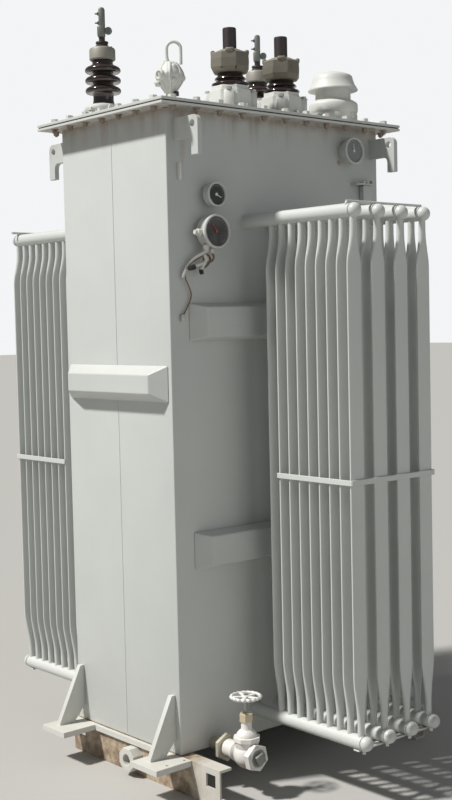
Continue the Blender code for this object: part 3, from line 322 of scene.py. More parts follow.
def addStains(tree, colour, values):
    runs = useGroup(tree, "runningStain", Top=values["stainTop"], Length=values["stainLength"],
        Amount=values["stain"])
    colour = mixColour(tree, runs["Mask"], colour, dirt["run"])
    # rusty spots on the front wall, and a thin brown band under the flange
    place = objectPlace(tree)
    axes = axesOf(tree, place)
    blotch = rangeNode(tree, noiseNode(tree, place, 30.0, 5.0, 0.65), 0.3, 0.62)
    onFront = rangeNode(tree, axes["Y"], -0.3, -0.304)
    for x, z, wide, tall, amount in values["smears"]:
        across = mathNode(tree, "DIVIDE", minus(tree, axes["X"], x), wide)
        upward = mathNode(tree, "DIVIDE", minus(tree, axes["Z"], z), tall)
        away = plus(tree, times(tree, across, across), times(tree, upward, upward))
        share = times(tree, rangeNode(tree, away, 1.0, 0.1, 0.0, amount), onFront, blotch)
        colour = mixColour(tree, share, colour, dirt["smear"])
    top = values["stainTop"]
    bandLow, bandHigh = top - values["bandFrom"], top - values["bandTo"]
    under = rangeNode(tree, axes["Z"], bandLow, bandHigh, 0.0, values["band"])
    return mixColour(tree, times(tree, under, blotch), colour, dirt["band"])


def makeFinish(name, values):
    tree, inputs = newMaterial(name)
    tone = useGroup(tree, "agedTone", Paint=(*values["paint"], 1), Dust=(*values["dust"], 1),
        Dust_Amount=values["dustAmount"], Change=values["change"], Scale=surface["toneScale"])
    colour = tone["Color"]
    rough = plus(tree, times(tree, tone["Dust Mask"], surface["dustRough"]), values["rough"])
    metal = values["metal"]
    if values["rust"]:
        patches = useGroup(tree, "rustPatches", Amount=values["rust"], Scale=values["rustScale"])
        colour = mixColour(tree, patches["Mask"], colour, patches["Color"])
        rough = plus(tree, rough, times(tree, patches["Mask"], surface["rustRough"]))
        if metal:
            metal = times(tree, minus(tree, 1.0, patches["Mask"]), metal)
    if "stain" in values:
        colour = addStains(tree, colour, values)
    if "splash" in values:
        splash = useGroup(tree, "groundSplash", Height=values["splashHeight"], Amount=values["splash"])
        colour = mixColour(tree, splash["Mask"], colour, dirt["splash"])
    if "rustShadeFrom" in values:  # sandy rust and dark brown behind the clean front end, the dark brown partly rust and partly painted shade
        place = objectPlace(tree)
        back = rangeNode(tree, axesOf(tree, place)["Y"], values["rustShadeFrom"], values["rustShadeTo"])
        blotch = rangeNode(tree, noiseNode(tree, place, 26.0, 6.0, 0.65), 0.4, 0.62)
        rustAndShade = mixColour(tree, blotch, dirt["rustShadeDark"], dirt["rustShadePale"])
        colour = mixColour(tree, times(tree, back, values["rustShadeShare"]), colour, rustAndShade)
    # brown on downward faces, partly rust and partly painted shade under things
    if "underRustAndShade" in values:
        patch = rangeNode(tree, noiseNode(tree, objectPlace(tree), 45.0, 5.0), 0.3, 0.6)
        share = times(tree, facing(tree, -0.25, -0.85), patch, values["underRustAndShade"])
        colour = mixColour(tree, share, colour, dirt["under"])
    skin = useGroup(tree, "skinRelief")["Height"]
    bumpInputs = {"Height": skin, "Strength": values["relief"], "Distance": surface["bumpDistance"]}
    bump = addNode(tree, "Bump", bumpInputs)
    feed(tree, inputs["Normal"], bump.outputs["Normal"])
    feed(tree, inputs["Base Color"], colour)
    feed(tree, inputs["Roughness"], rough)
    feed(tree, inputs["Metallic"], metal)


glaze = {"dustAmount": 0.12, "change": 0.15, "scale": 14.0, "dustRough": 0.5, "coatRough": 0.06}
plains = {"brownGlaze": ((0.021, 0.0095, 0.0092), 0.15, 0.9), "dialBlack": ((0.035, 0.037, 0.038), 0.3, 0.5),
    "dialGrey": ((0.21, 0.225, 0.225), 0.32, 0.5), "markWhite": ((0.72, 0.71, 0.68), 0.4, 0.0),
    "markRed": ((0.42, 0.07, 0.035), 0.4, 0.0)}


def makePlain(name, colour, rough, coat):
    tree, inputs = newMaterial(name)
    tone = useGroup(tree, "agedTone", Paint=(*colour, 1), Dust=dirt["glassDust"],
        Dust_Amount=glaze["dustAmount"], Change=glaze["change"], Scale=glaze["scale"])
    feed(tree, inputs["Base Color"], tone["Color"])
    rough = plus(tree, times(tree, tone["Dust Mask"], glaze["dustRough"]), rough)
    feed(tree, inputs["Roughness"], rough)
    inputs["Coat Weight"].default_value = coat
    inputs["Coat Roughness"].default_value = glaze["coatRough"]


def makeMaterials():
    makeAgedTone()
    makeRustPatches()
    makeRunningStain()
    makeGroundSplash()
    makeSkinRelief()
    for name, row in finishes.items():
        makeFinish(name, {**ordinary, **dict(zip(columns, row)), **extras.get(name, {})})
    for name, row in plains.items():
        makePlain(name, *row)
    print("materials made:", len(paints))


# helpers for pieces

making = {"merge": 0.000001, "solidMerge": 0.00001, "turnMerge": 0.0000005, "flatAngle": 1.0,
    "bevelAngle": 35, "bevelSegments": 2}


def finishPiece(name, bm, paint, node=None, soft=0.0, body="root", smooth=True, angle=38):
    bmesh.ops.remove_doubles(bm, verts=bm.verts, dist=making["merge"])
    bmesh.ops.recalc_face_normals(bm, faces=bm.faces)
    mesh = bpy.data.meshes.new(name)
    bm.to_mesh(mesh)
    bm.free()
    mesh.materials.append(paints[paint])
    if smooth:
        mesh.shade_smooth()
        mesh.set_sharp_from_angle(angle=math.radians(angle))
    piece = bpy.data.objects.new(name, mesh)
    bpy.context.scene.collection.objects.link(piece)
    if soft:
        bevel = piece.modifiers.new("softEdges", "BEVEL")
        bevel.width = soft
        bevel.segments = making["bevelSegments"]
        bevel.limit_method = "ANGLE"
        bevel.angle_limit = math.radians(making["bevelAngle"])
        bevel.harden_normals = True
    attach(piece, body)
    if node:
        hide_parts(node)


def softCopy(node, paint, width):
    # the CAD solid itself, with its edges eased
    bm = bmesh.new()
    bm.from_mesh(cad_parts[node].data)
    bmesh.ops.remove_doubles(bm, verts=bm.verts, dist=making["solidMerge"])
    flat = math.radians(making["flatAngle"])
    bmesh.ops.dissolve_limit(bm, angle_limit=flat, verts=bm.verts, edges=bm.edges)
    finishPiece(node + "Eased", bm, paint, node, width)


def edgesOf(verts):
    return list(dict.fromkeys(edge for vert in verts for edge in vert.link_edges))


def spinRound(bm, geom, sides, place, before):
    bmesh.ops.spin(bm, geom=geom, cent=(0, 0, 0), axis=(0, 0, 1), angle=2 * math.pi, steps=sides,
        use_merge=True)
    verts = [vert for vert in bm.verts if vert not in before]
    bmesh.ops.remove_doubles(bm, verts=verts, dist=making["turnMerge"])
    bmesh.ops.transform(bm, matrix=place, verts=[vert for vert in verts if vert.is_valid])


def addTurned(bm, profile, sides, place):
    # profile: (radius, height) pairs up the outer side, ends on the axis
    before = set(bm.verts)
    ring = [bm.verts.new((radius, 0, height)) for radius, height in profile]
    edges = [bm.edges.new((ring[i], ring[i + 1])) for i in range(len(ring) - 1)]
    spinRound(bm, ring + edges, sides, place, before)


def addRing(bm, radius, thick, sides, around, place):
    before = set(bm.verts)
    upright = at(radius, 0, 0) @ turned(90, "X")
    made = bmesh.ops.create_circle(bm, segments=around, radius=thick, matrix=upright)
    spinRound(bm, made["verts"] + edgesOf(made["verts"]), sides, place, before)


def addBlock(bm, size, place, ease=0.0):
    made = bmesh.ops.create_cube(bm, size=1.0, matrix=place @ Matrix.Diagonal((*size, 1)))
    if ease:
        bmesh.ops.bevel(bm, geom=edgesOf(made["verts"]), offset=ease, segments=2, profile=0.5,
            affect="EDGES", material=-1)


def addPrism(bm, sides, radius, length, place, topRadius=None):
    # along the place's Z, starting at its origin
    middle = place @ at(0, 0, length / 2)
    bmesh.ops.create_cone(bm, cap_ends=True, segments=sides, radius1=radius, radius2=topRadius or radius,
        depth=length, matrix=middle)


def at(x, y, z):
    return Matrix.Translation((x, y, z))


def turned(degrees, axis):
    return Matrix.Rotation(math.radians(degrees), 4, axis)


outFront = turned(90, "X")  # turns +Z towards -Y


boltShape = {"washer": 0.78, "tip": 0.36, "tipTop": 0.3, "tipHeight": 0.12}  # shares of flats and height


def addBolt(bm, place, flats, height, washer=0.0):
    # a hex head standing on the place's origin, along its Z
    if washer:
        addPrism(bm, 12, flats * boltShape["washer"], washer, place)
    addPrism(bm, 6, flats / 2 / math.cos(math.radians(30)), height, place @ at(0, 0, washer))
    top = place @ at(0, 0, washer + height)
    tip, tipTop = flats * boltShape["tip"], flats * boltShape["tipTop"]
    addPrism(bm, 6, tip, height * boltShape["tipHeight"], top, tipTop)


def smoothPath(points, perSpan):
    vectors = [Vector(point) for point in points]
    padded = [2 * vectors[0] - vectors[1]] + vectors + [2 * vectors[-1] - vectors[-2]]
    path = []
    for i in range(1, len(padded) - 2):
        a, b, c, d = padded[i - 1:i + 3]
        for k in range(perSpan):
            t = k / perSpan
            bend = (2 * a - 5 * b + 4 * c - d) * t * t + (3 * b - a - 3 * c + d) * t ** 3
            path.append(0.5 * (2 * b + (c - a) * t + bend))
    return path + [vectors[-1]]


def rimEdges(ring):
    return [edge for edge in edgesOf(ring) if all(vert in ring for vert in edge.verts)]


def extrudeRing(bm, ring):
    made = bmesh.ops.extrude_edge_only(bm, edges=rimEdges(ring))
    return [item for item in made["geom"] if isinstance(item, bmesh.types.BMVert)]


def addTube(bm, path, radius, sides=10):
    # a round section carried along a path, ring by ring
    side = (path[1] - path[0]).normalized().orthogonal().normalized()
    ring = None
    for i, point in enumerate(path):
        ahead = (path[min(i + 1, len(path) - 1)] - path[max(i - 1, 0)]).normalized()
        side = (side - ahead * side.dot(ahead)).normalized()
        place = Matrix.Translation(point) @ Matrix((side, ahead.cross(side), ahead)).transposed().to_4x4()
        if ring is None:
            made = bmesh.ops.create_circle(bm, cap_ends=True, segments=sides, radius=radius, matrix=place)
            ring = made["verts"]
        else:
            ring = extrudeRing(bm, ring)
            bmesh.ops.transform(bm, matrix=place @ last.inverted(), verts=ring)
        last = place
    bmesh.ops.contextual_create(bm, geom=rimEdges(ring))


# tank, top and base

easedNodes = (  # paint, slot, width of the eased edge, nodes
    ("tankPaint", "tank_paint", 0.0015, "tank_shell"),
    ("tankPaint", "tank_paint", 0.005, "stiffener_left stiffener_right"),
    ("tankPaint", "tank_paint", 0.0045, "stiffener_front_upper stiffener_front_lower"),
    ("tankPaint", "tank_paint", 0.0045, "stiffener_back_upper stiffener_back_lower"),
    ("tankPaint", "tank_paint", 0.0022, "lifting_lug_front_left lifting_lug_front_right"),
    ("tankPaint", "tank_paint", 0.0022, "lifting_lug_back_left lifting_lug_back_right"),
    ("flangePaint", "tank_paint", 0.0012, "tank_flange"),
    ("coverPaint", "tank_paint", 0.0018, "tank_cover"),
    ("basePaint", "base_paint", 0.0022, "jacking_bracket_left jacking_bracket_right"),
    ("basePaint", "base_paint", 0.0028, "pipe_coupling"),
    ("skidPaint", "base_paint", 0.002, "skid_left skid_right"),
    ("radiatorPaint", "radiator_paint", 0.0016, "tie_bar_front tie_bar_back"),
    ("radiatorPaint", "radiator_paint", 0.0012, "tie_strap_front tie_strap_back"))


def makeTankAndBase():
    for paint, slotName, width, nodes in easedNodes:
        for node in nodes.split():
            softCopy(node, paint, width)
    for node, paint in (("cover_gasket", "gasketRubber"), ("tank_floor", "tankPaint")):
        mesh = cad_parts[node].data
        mesh.materials.clear()
        mesh.materials.append(paints[paint])
    print("tank and base done")


welds = {"radius": 0.0022, "endSeam": 0.0016, "sides": 8, "short": 0.02, "lugX": 0.472, "lugThick": 0.0098,
    "lugDrop": 0.106, "lugLength": 0.068}


def makeWelds():
    bm = bmesh.new()
    half, wide = tank["halfLength"], tank["halfWidth"]
    low, high = tank["floor"] + 0.012, tank["flangeUnder"] - 0.001
    sides, radius, short = welds["sides"], welds["radius"], welds["short"]
    for side in (-1, 1):
        addPrism(bm, sides, welds["endSeam"], high - low, at(side * half, 0, low))  # seam up each narrow end
        across = at(side * half, -wide + short / 2, high) @ turned(-90, "X")
        addPrism(bm, sides, radius, 2 * wide - short, across)
        along = at(-half + short / 2, side * wide, high) @ turned(90, "Y")
        addPrism(bm, sides, radius, 2 * half - short, along)
    for x in (-1, 1):
        for y in (-1, 1):
            for face in (-1, 1):  # along each lug's root
                place = at(x * welds["lugX"] + face * welds["lugThick"], y * wide, high - welds["lugDrop"])
                addPrism(bm, sides, radius, welds["lugLength"], place)
    finishPiece("weldBeads", bm, "tankPaint")


coverBolts = {"alongPitch": 0.1016, "alongCount": 11, "acrossPitch": 0.0975, "acrossCount": 7, "edge": 0.026,
    "flats": 0.0235, "height": 0.0115, "nutFlats": 0.0175, "washer": 0.002, "tip": 0.006,
    "tipRadius": 0.0052, "spin": 17.0}


def boltPlaces():
    x = tank["halfLength"] + tank["overhang"] - coverBolts["edge"]
    y = tank["halfWidth"] + tank["overhang"] - coverBolts["edge"]
    places = []
    for i in range(coverBolts["alongCount"]):
        along = (i - (coverBolts["alongCount"] - 1) / 2) * coverBolts["alongPitch"]
        places += [(along, -y), (along, y)]
    for i in range(coverBolts["acrossCount"]):
        across = (i - (coverBolts["acrossCount"] - 1) / 2) * coverBolts["acrossPitch"]
        places += [(-x, across), (x, across)]
    return places


def makeCoverBolts():
    heads = bmesh.new()
    nuts = bmesh.new()
    height, washer = coverBolts["height"], coverBolts["washer"]
    for i, (x, y) in enumerate(boltPlaces()):
        spin = turned(coverBolts["spin"] * i, "Z")
        addBolt(heads, at(x, y, tank["coverTop"]) @ spin, coverBolts["flats"], height, washer)
        under = at(x, y, tank["flangeUnder"]) @ turned(180, "X") @ spin
        addBolt(nuts, under, coverBolts["nutFlats"], height, washer)
        addPrism(nuts, 10, coverBolts["tipRadius"], coverBolts["tip"], under @ at(0, 0, height))
    finishPiece("coverBoltHeads", heads, "whiteCasting")
    finishPiece("coverBoltNuts", nuts, "nutSteel")
    print("cover bolts done")


# radiators

radiator = {"rowPitch": 0.111, "frontRows": 4, "backRows": 8, "tubes": 9, "pitch": 0.047, "first": 0.134,
    "top": 1.934, "bottom": 0.216, "header": 0.024, "endPastTube": 0.008, "bottomPast": 0.016, "dome": 0.02,
    "groove": 0.012, "wide": 0.063, "thick": 0.0138, "neckWide": 0.026, "neckThick": 0.021,
    "topShoulder": 0.175, "bottomShoulder": 0.215, "neck": 0.058, "rod": 0.0046, "rodBack": 0.024,
    "rodPast": 0.007, "tack": 0.0052, "plugCollar": (0.0085, 0.005), "plug": (0.0075, 0.013),
    "rodBends": ((0.007, -0.014), (0.005, -0.004), (-0.004, 0), (-0.02, 0)), "grooveDeep": 0.0034,
    "grooveWide": 0.005, "grooveSlope": 0.0012, "weld": 0.0022, "flatX": 0.62, "flatY": 0.8}
lastTube = radiator["first"] + (radiator["tubes"] - 1) * radiator["pitch"]


def addCoolingTube(bm):
    # one flattened tube with round necks, standing on the Z axis
    values = radiator
    low, high, neck = values["bottom"], values["top"], values["neck"]
    steps = [(i / 5, (i / 5) ** 2 * (3 - 2 * i / 5)) for i in range(6)]
    levels = [(low, 0.0)]
    levels += [(low + neck + t * (values["bottomShoulder"] - neck), ease) for t, ease in steps]
    start = high - values["topShoulder"]
    levels += [(start + t * (values["topShoulder"] - neck), 1 - ease) for t, ease in steps]
    levels.append((high, 0.0))
    shape = {}
    for vert in bmesh.ops.create_circle(bm, segments=14, radius=1.0, matrix=at(0, 0, low))["verts"]:
        x, y = vert.co.xy
        squareX = math.copysign(abs(x) ** values["flatX"], x)
        shape[vert] = (x, y, squareX, math.copysign(abs(y) ** values["flatY"], y))
    for i, (height, flat) in enumerate(levels):
        if i:
            grown = {}
            for vert in extrudeRing(bm, list(shape)):
                others = [edge.other_vert(vert) for edge in vert.link_edges]
                grown[vert] = next(shape[other] for other in others if other in shape)
            shape = grown
        wide = values["neckWide"] + (values["wide"] - values["neckWide"]) * flat
        thick = values["neckThick"] + (values["thick"] - values["neckThick"]) * flat
        for vert, (roundX, roundY, squareX, squareY) in shape.items():
            x = roundX + (squareX - roundX) * flat
            y = roundY + (squareY - roundY) * flat
            vert.co = (x * wide / 2, y * thick / 2, height)


def addHeader(bm, height, extra):
    values = radiator
    end = lastTube + values["endPastTube"] + extra
    radius = values["header"] - tuck
    start, slope = end - values["groove"], values["grooveSlope"]
    inner, stop = radius - values["grooveDeep"], start + values["grooveWide"]
    profile = [(0, tuck), (radius, tuck), (radius, start), (inner, start + slope), (inner, stop),
        (radius, stop + slope)]
    for i in range(7):
        a = math.radians(15 * i)
        profile.append((radius * math.cos(a), end + values["dome"] * math.sin(a)))
    addTurned(bm, profile, 28, at(0, 0, height) @ outFront)
    weld = values["weld"]  # at the wall
    addRing(bm, radius + weld - 0.001, weld, 24, 6, at(0, -weld, height) @ outFront)


def makeRadiators():
    values = radiator
    one = bmesh.new()
    addCoolingTube(one)
    single = bpy.data.meshes.new("coolingTube")
    one.to_mesh(single)
    one.free()
    row = bmesh.new()
    for i in range(values["tubes"]):
        before = set(row.verts)
        row.from_mesh(single)
        moved = [vert for vert in row.verts if vert not in before]
        bmesh.ops.translate(row, vec=(0, -values["first"] - i * values["pitch"], 0), verts=moved)
    addHeader(row, values["top"], 0.0)
    addHeader(row, values["bottom"], values["bottomPast"])
    end = lastTube + values["bottomPast"]
    under = at(0, -end + 0.004, values["bottom"] - values["header"] + 0.002) @ turned(180, "X")
    addPrism(row, 10, *values["plugCollar"], under)
    addPrism(row, 4, *values["plug"], under)  # square drain plug
    whole = bpy.data.meshes.new("radiatorRow")
    row.to_mesh(whole)
    row.free()
    for side, label, count, turn in ((-1, "front", values["frontRows"], 0),
            (1, "back", values["backRows"], 180)):
        for i in range(count):
            bm = bmesh.new()
            bm.from_mesh(whole)
            x = (i - (count - 1) / 2) * values["rowPitch"]
            place = at(x, side * tank["halfWidth"], 0) @ turned(turn, "Z")
            bmesh.ops.transform(bm, matrix=place, verts=bm.verts)
            finishPiece(f"{label}RadiatorRow{i + 1}", bm, "radiatorPaint",
                f"radiator_{label}_{i + 1}", angle=50)
    print("radiators done")


def makeTieRods():
    values = radiator
    out = tank["halfWidth"] + lastTube + values["endPastTube"] - values["rodBack"]
    height = values["top"] + values["header"] + values["rod"]
    for side, label, count in ((-1, "front", values["frontRows"]), (1, "back", values["backRows"])):
        half = (count - 1) / 2 * values["rowPitch"] + values["rodPast"]
        y = side * out
        path = [(-half - past, y, height + drop) for past, drop in values["rodBends"]]
        path += [(half + past, y, height + drop) for past, drop in reversed(values["rodBends"])]
        bm = bmesh.new()
        addTube(bm, smoothPath(path, 4), values["rod"], 10)
        for i in range(count):  # tack welds on the header pipes
            place = at((i - (count - 1) / 2) * values["rowPitch"], y, height - values["rod"])
            bmesh.ops.create_uvsphere(bm, u_segments=10, v_segments=6, radius=values["tack"], matrix=place)
        finishPiece(f"{label}TieRod", bm, "radiatorPaint", f"tie_rod_{label}")


# high-voltage bushings

highBushing = {"x": 0.382, "y": 0.216, "flange": 0.077, "flangeHeight": 0.07, "body": 0.037, "shed": 0.0648,
    "shedStart": 0.053, "shedPitch": 0.037, "porcelain": 0.158, "cap": 0.0473, "capHeight": 0.047,
    "neck": 0.025, "stud": 0.012, "studHeight": 0.144, "turn": -41.0, "clamps": 6,
    "shedShape": ((0.0, -0.0165), (0.1, -0.0135), (0.3, -0.0125), (0.62, -0.0135), (0.86, -0.0125),
    (0.97, -0.009), (1.0, -0.0045), (0.97, 0.0), (0.88, 0.004), (0.7, 0.0075), (0.42, 0.011), (0.18, 0.0145),
    (0.03, 0.018)), "clampLow": 0.036, "clampStep": 0.08}


def makeHighBushing(number, x):
    values = highBushing
    here = at(x, values["y"], onCover)
    bm = bmesh.new()
    bolts = bmesh.new()
    wide, high = values["flange"], values["flangeHeight"]
    addTurned(bm, [(0, 0), (wide, 0), (wide, 0.012), (wide - 0.004, 0.015), (wide - 0.01, 0.018),
        (wide - 0.012, high * 0.62), (wide - 0.009, high * 0.68), (wide - 0.007, high * 0.8),
        (wide - 0.01, high * 0.9), (values["body"] + 0.01, high), (0, high)], 48, here)
    for i in range(values["clamps"]):
        place = here @ turned(360 / values["clamps"] * i + 12, "Z")
        addBlock(bm, (0.02, 0.018, 0.03), place @ at(wide - 0.0115, 0, 0.0275), 0.003)
        bolt = place @ at(wide - 0.0105, 0, 0.0425)
        addBolt(bolts, bolt, 0.0165, 0.009, 0.0015)
        addPrism(bolts, 12, 0.007, 0.01, bolt @ at(0, 0, 0.0105), 0.0015)
    finishPiece(f"highBushingFoot{number}", bm, "whiteCasting", f"hv_flange_{number}")
    finishPiece(f"highBushingBolts{number}", bolts, "whiteCasting")

    bm = bmesh.new()
    body, shed, tall = values["body"], values["shed"], values["porcelain"]
    profile = [(0, 0), (body + 0.003, 0), (body + 0.001, 0.01), (body, 0.018)]
    for i in range(3):
        level = values["shedStart"] + i * values["shedPitch"]
        profile += [(body + along * (shed - body), level + rise) for along, rise in values["shedShape"]]
    here = here @ at(0, 0, high + gap)
    addTurned(bm, profile + [(body, tall), (0, tall)], 56, here)
    finishPiece(f"highBushingPorcelain{number}", bm, "brownGlaze", f"hv_porcelain_{number}",
        angle=60)

    # cap with a dark ring and neck
    here = here @ at(0, 0, tall + gap)
    bm = bmesh.new()
    cap, high = values["cap"], values["capHeight"]
    addTurned(bm, [(0, 0), (cap - 0.004, 0), (cap, 0.004), (cap, high - 0.01), (cap - 0.003, high - 0.004),
        (cap - 0.01, high - 0.001), (values["neck"] + 0.002, high), (0, high)], 48, here)
    for i in range(4):
        addPrism(bm, 12, 0.0055, 0.004, here @ turned(90 * i + 30, "Z") @ at(cap - 0.013, 0, high - 0.003))
    finishPiece(f"highBushingCap{number}", bm, "capCasting", f"hv_terminal_{number}")
    bm = bmesh.new()
    neck, stud = values["neck"] - 0.0005, values["stud"]
    here = here @ at(0, 0, high)
    addTurned(bm, [(0, -0.001), (neck, -0.001), (neck, 0.006), (neck - 0.004, 0.009), (neck - 0.004, 0.013),
        (neck - 0.001, 0.015), (neck - 0.002, 0.0205), (stud, 0.0208), (0, 0.0208)], 36, here)
    addPrism(bm, 16, stud - 0.0006, 0.04, here @ at(0, 0, 0.018))
    finishPiece(f"highBushingNeck{number}", bm, "studCopper")

    # upright clamp with a rounded top, its bolts across it, and the round palm beside it
    turn = here @ turned(values["turn"], "Z")
    bm = bmesh.new()
    top, low, step = values["studHeight"], values["clampLow"], values["clampStep"]
    addBlock(bm, (0.0285, 0.03, step - low), turn @ at(-0.0015, 0, (low + step) / 2), 0.0075)
    addBlock(bm, (0.0225, 0.027, top - step + 0.012), turn @ at(0.0012, 0, (top + step) / 2 - 0.006), 0.008)
    addPrism(bm, 20, 0.0135, 0.012, turn @ at(0.024, 0.006, 0.06) @ outFront)
    addBlock(bm, (0.02, 0.01, 0.014), turn @ at(0.014, 0, 0.058), 0.002)
    finishPiece(f"highBushingClamp{number}", bm, "clampAluminium", soft=0.0008)
    bm = bmesh.new()
    for height in (top - 0.022, top - 0.055):
        across = turn @ at(-0.0075, 0, height) @ turned(-90, "Y")
        addPrism(bm, 6, 0.007, 0.0065, across)
        addPrism(bm, 10, 0.0042, 0.0165, across, 0.002)
    finishPiece(f"highBushingClampBolts{number}", bm, "studCopper")


# low-voltage bushings

lowBushing = {"x": 0.124, "y": -0.193, "base": 0.102, "baseHeight": 0.082, "collar": 0.069,
    "collarHeight": 0.016, "porcelain": 0.046, "body": 0.045, "shed": 0.0668, "upperShed": 0.0558,
    "nut": 0.0728, "nutHeight": 0.082, "stud": 0.0243, "studHeight": 0.076, "earTurn": 49.0,
    "nutShape": ((0.0, 0.07, 0.8, 0.88), (0.07, 0.2, 0.88, 0.96), (0.2, 0.55, 0.96, 0.985),
    (0.55, 0.8, 0.985, 0.97), (0.8, 0.88, 0.97, 0.86)),
    "nutDome": ((0.7, 0.85), (0.66, 0.93), (0.56, 0.955), (0.52, 0.99), (0.42, 0.999), (0, 0.999))}


def makeLowBushing(number, x):
    values = lowBushing
    flat = turned(22.5, "Z")
    here = at(x, values["y"], onCover)
    # low cast foot: eight sides, a sloping shoulder, four lugs with bolts
    bm = bmesh.new()
    bolts = bmesh.new()
    wide, high, collar = values["base"], values["baseHeight"], values["collar"]
    addPrism(bm, 8, wide, 0.018, here @ flat)
    addPrism(bm, 8, wide * 0.8, high - 0.018, here @ at(0, 0, 0.018) @ flat, wide * 0.76)
    addPrism(bm, 8, collar * 1.02, values["collarHeight"], here @ at(0, 0, high) @ flat, collar * 0.99)
    for i in range(4):
        place = here @ turned(90 * i + 45, "Z") @ at(wide * 0.8, 0, 0)
        addBlock(bm, (0.03, 0.034, high - 0.012), place @ at(-0.004, 0, high / 2), 0.003)
        addBolt(bolts, place @ at(-0.001, 0, high - 0.007), 0.019, 0.0085, 0.002)
        low = here @ turned(90 * i, "Z") @ at(wide * 0.855, 0, 0.018)
        addBolt(bolts, low, 0.015, 0.008, 0.0015)
    finishPiece(f"lowBushingFoot{number}", bm, "whiteCasting", f"lv_base_{number}", 0.0022)
    finishPiece(f"lowBushingBolts{number}", bolts, "boltZinc")

    bm = bmesh.new()
    body, shed, upper, tall = values["body"], values["shed"], values["upperShed"], values["porcelain"]
    profile = [(0, 0), (body + 0.006, 0), (shed - 0.008, 0.0025), (shed - 0.001, 0.0035), (shed, 0.007),
        (shed - 0.002, 0.01), (upper - 0.004, 0.0155), (body + 0.002, 0.019), (body + 0.002, 0.0205),
        (upper - 0.003, 0.0225), (upper, 0.025), (upper - 0.001, 0.0285), (body + 0.003, 0.034),
        (body, 0.037), (body, tall), (0, tall)]
    level = onCover + high + values["collarHeight"] + gap
    addTurned(bm, profile, 56, at(x, values["y"], level))
    finishPiece(f"lowBushingPorcelain{number}", bm, "brownGlaze", f"lv_porcelain_{number}",
        angle=60)

    # big cast terminal nut: eight sides, ears at the rim, domed middle
    foot = level + tall + gap
    here = at(x, values["y"], foot)
    bm = bmesh.new()
    nut, tall = values["nut"], values["nutHeight"]
    for start, end, lower, upper in values["nutShape"]:
        place = at(x, values["y"], foot + tall * start) @ flat
        addPrism(bm, 8, nut * lower, tall * (end - start), place, nut * upper)
    for i in range(4):  # ears at the rim, cut off from the middle by a slot
        place = here @ turned(90 * i + values["earTurn"], "Z") @ at(nut * 0.83, 0, 0)
        addBlock(bm, (0.015, 0.031, tall * 0.2), place @ at(0, 0, tall * 0.87), 0.0045)
    addTurned(bm, [(nut * out, tall * up) for out, up in values["nutDome"]], 32, here)
    finishPiece(f"lowBushingNut{number}", bm, "nutBronze", f"lv_terminal_{number}",
        0.0025)
    bm = bmesh.new()
    stud = values["stud"]
    top = tall + values["studHeight"]
    profile = [(0, tall - 0.004), (stud, tall - 0.004), (stud, tall + 0.004)]
    for i in range(22):
        rise = tall + 0.006 + i * 0.003
        groove = stud - 0.0002
        profile += [(stud, rise), (groove, rise + 0.001), (groove, rise + 0.0018), (stud, rise + 0.0026)]
    addTurned(bm, profile + [(stud - 0.0015, top), (0, top)], 40, here)
    finishPiece(f"lowBushingStud{number}", bm, "studCopper", angle=60)


# pressure relief

relief = {"x": 0.386, "y": -0.2, "base": 0.094, "baseHeight": 0.095, "neck": 0.068, "neckHeight": 0.038,
    "cap": 0.095, "capHeight": 0.074, "capShape": ((0.008, 0.001), (0.001, 0), (0, 0.003), (0.003, 0.008),
    (0.012, 0.022), (0.018, 0.04), (0.021, 0.052), (0.027, 0.058), (0.045, 0.065), (0.075, 0.072))}


def makeRelief():
    values = relief
    here = at(values["x"], values["y"], onCover)
    wide, high, neck = values["base"], values["baseHeight"], values["neck"]
    bm = bmesh.new()
    bolts = bmesh.new()
    addTurned(bm, [(0, 0), (wide, 0), (wide, 0.014), (wide - 0.003, 0.017), (wide - 0.006, 0.02),
        (wide - 0.006, 0.046), (wide - 0.003, 0.05), (wide - 0.001, 0.056), (wide - 0.001, high - 0.016),
        (wide - 0.004, high - 0.01), (wide - 0.016, high - 0.002), (neck + 0.004, high), (0, high)], 56,
        here)
    for i in range(8):
        place = here @ turned(45 * i + 10, "Z") @ at(wide - 0.006, 0, 0.033)
        addBlock(bm, (0.006, 0.022, 0.024), place, 0.002)
        place = here @ turned(45 * i + 32.5, "Z") @ at(wide - 0.0055, 0, 0.062) @ turned(90, "Y")
        addBolt(bolts, place, 0.011, 0.003)
    finishPiece("reliefBase", bm, "whiteCasting", "relief_base")
    finishPiece("reliefBolts", bolts, "boltZinc")
    bm = bmesh.new()
    low, cap = values["neckHeight"], values["cap"] - 0.0005
    profile = [(0, 0), (neck, 0), (neck - 0.001, 0.004), (neck - 0.002, low + 0.004),
        (neck + 0.004, low + 0.005)]
    profile += [(cap - inward, low + up) for inward, up in values["capShape"]]
    profile.append((0, low + values["capHeight"]))
    addTurned(bm, profile, 56, here @ at(0, 0, high + gap))
    finishPiece("reliefCap", bm, "whiteCasting", "relief_cap", angle=50)
    print("relief done")


# vent fitting

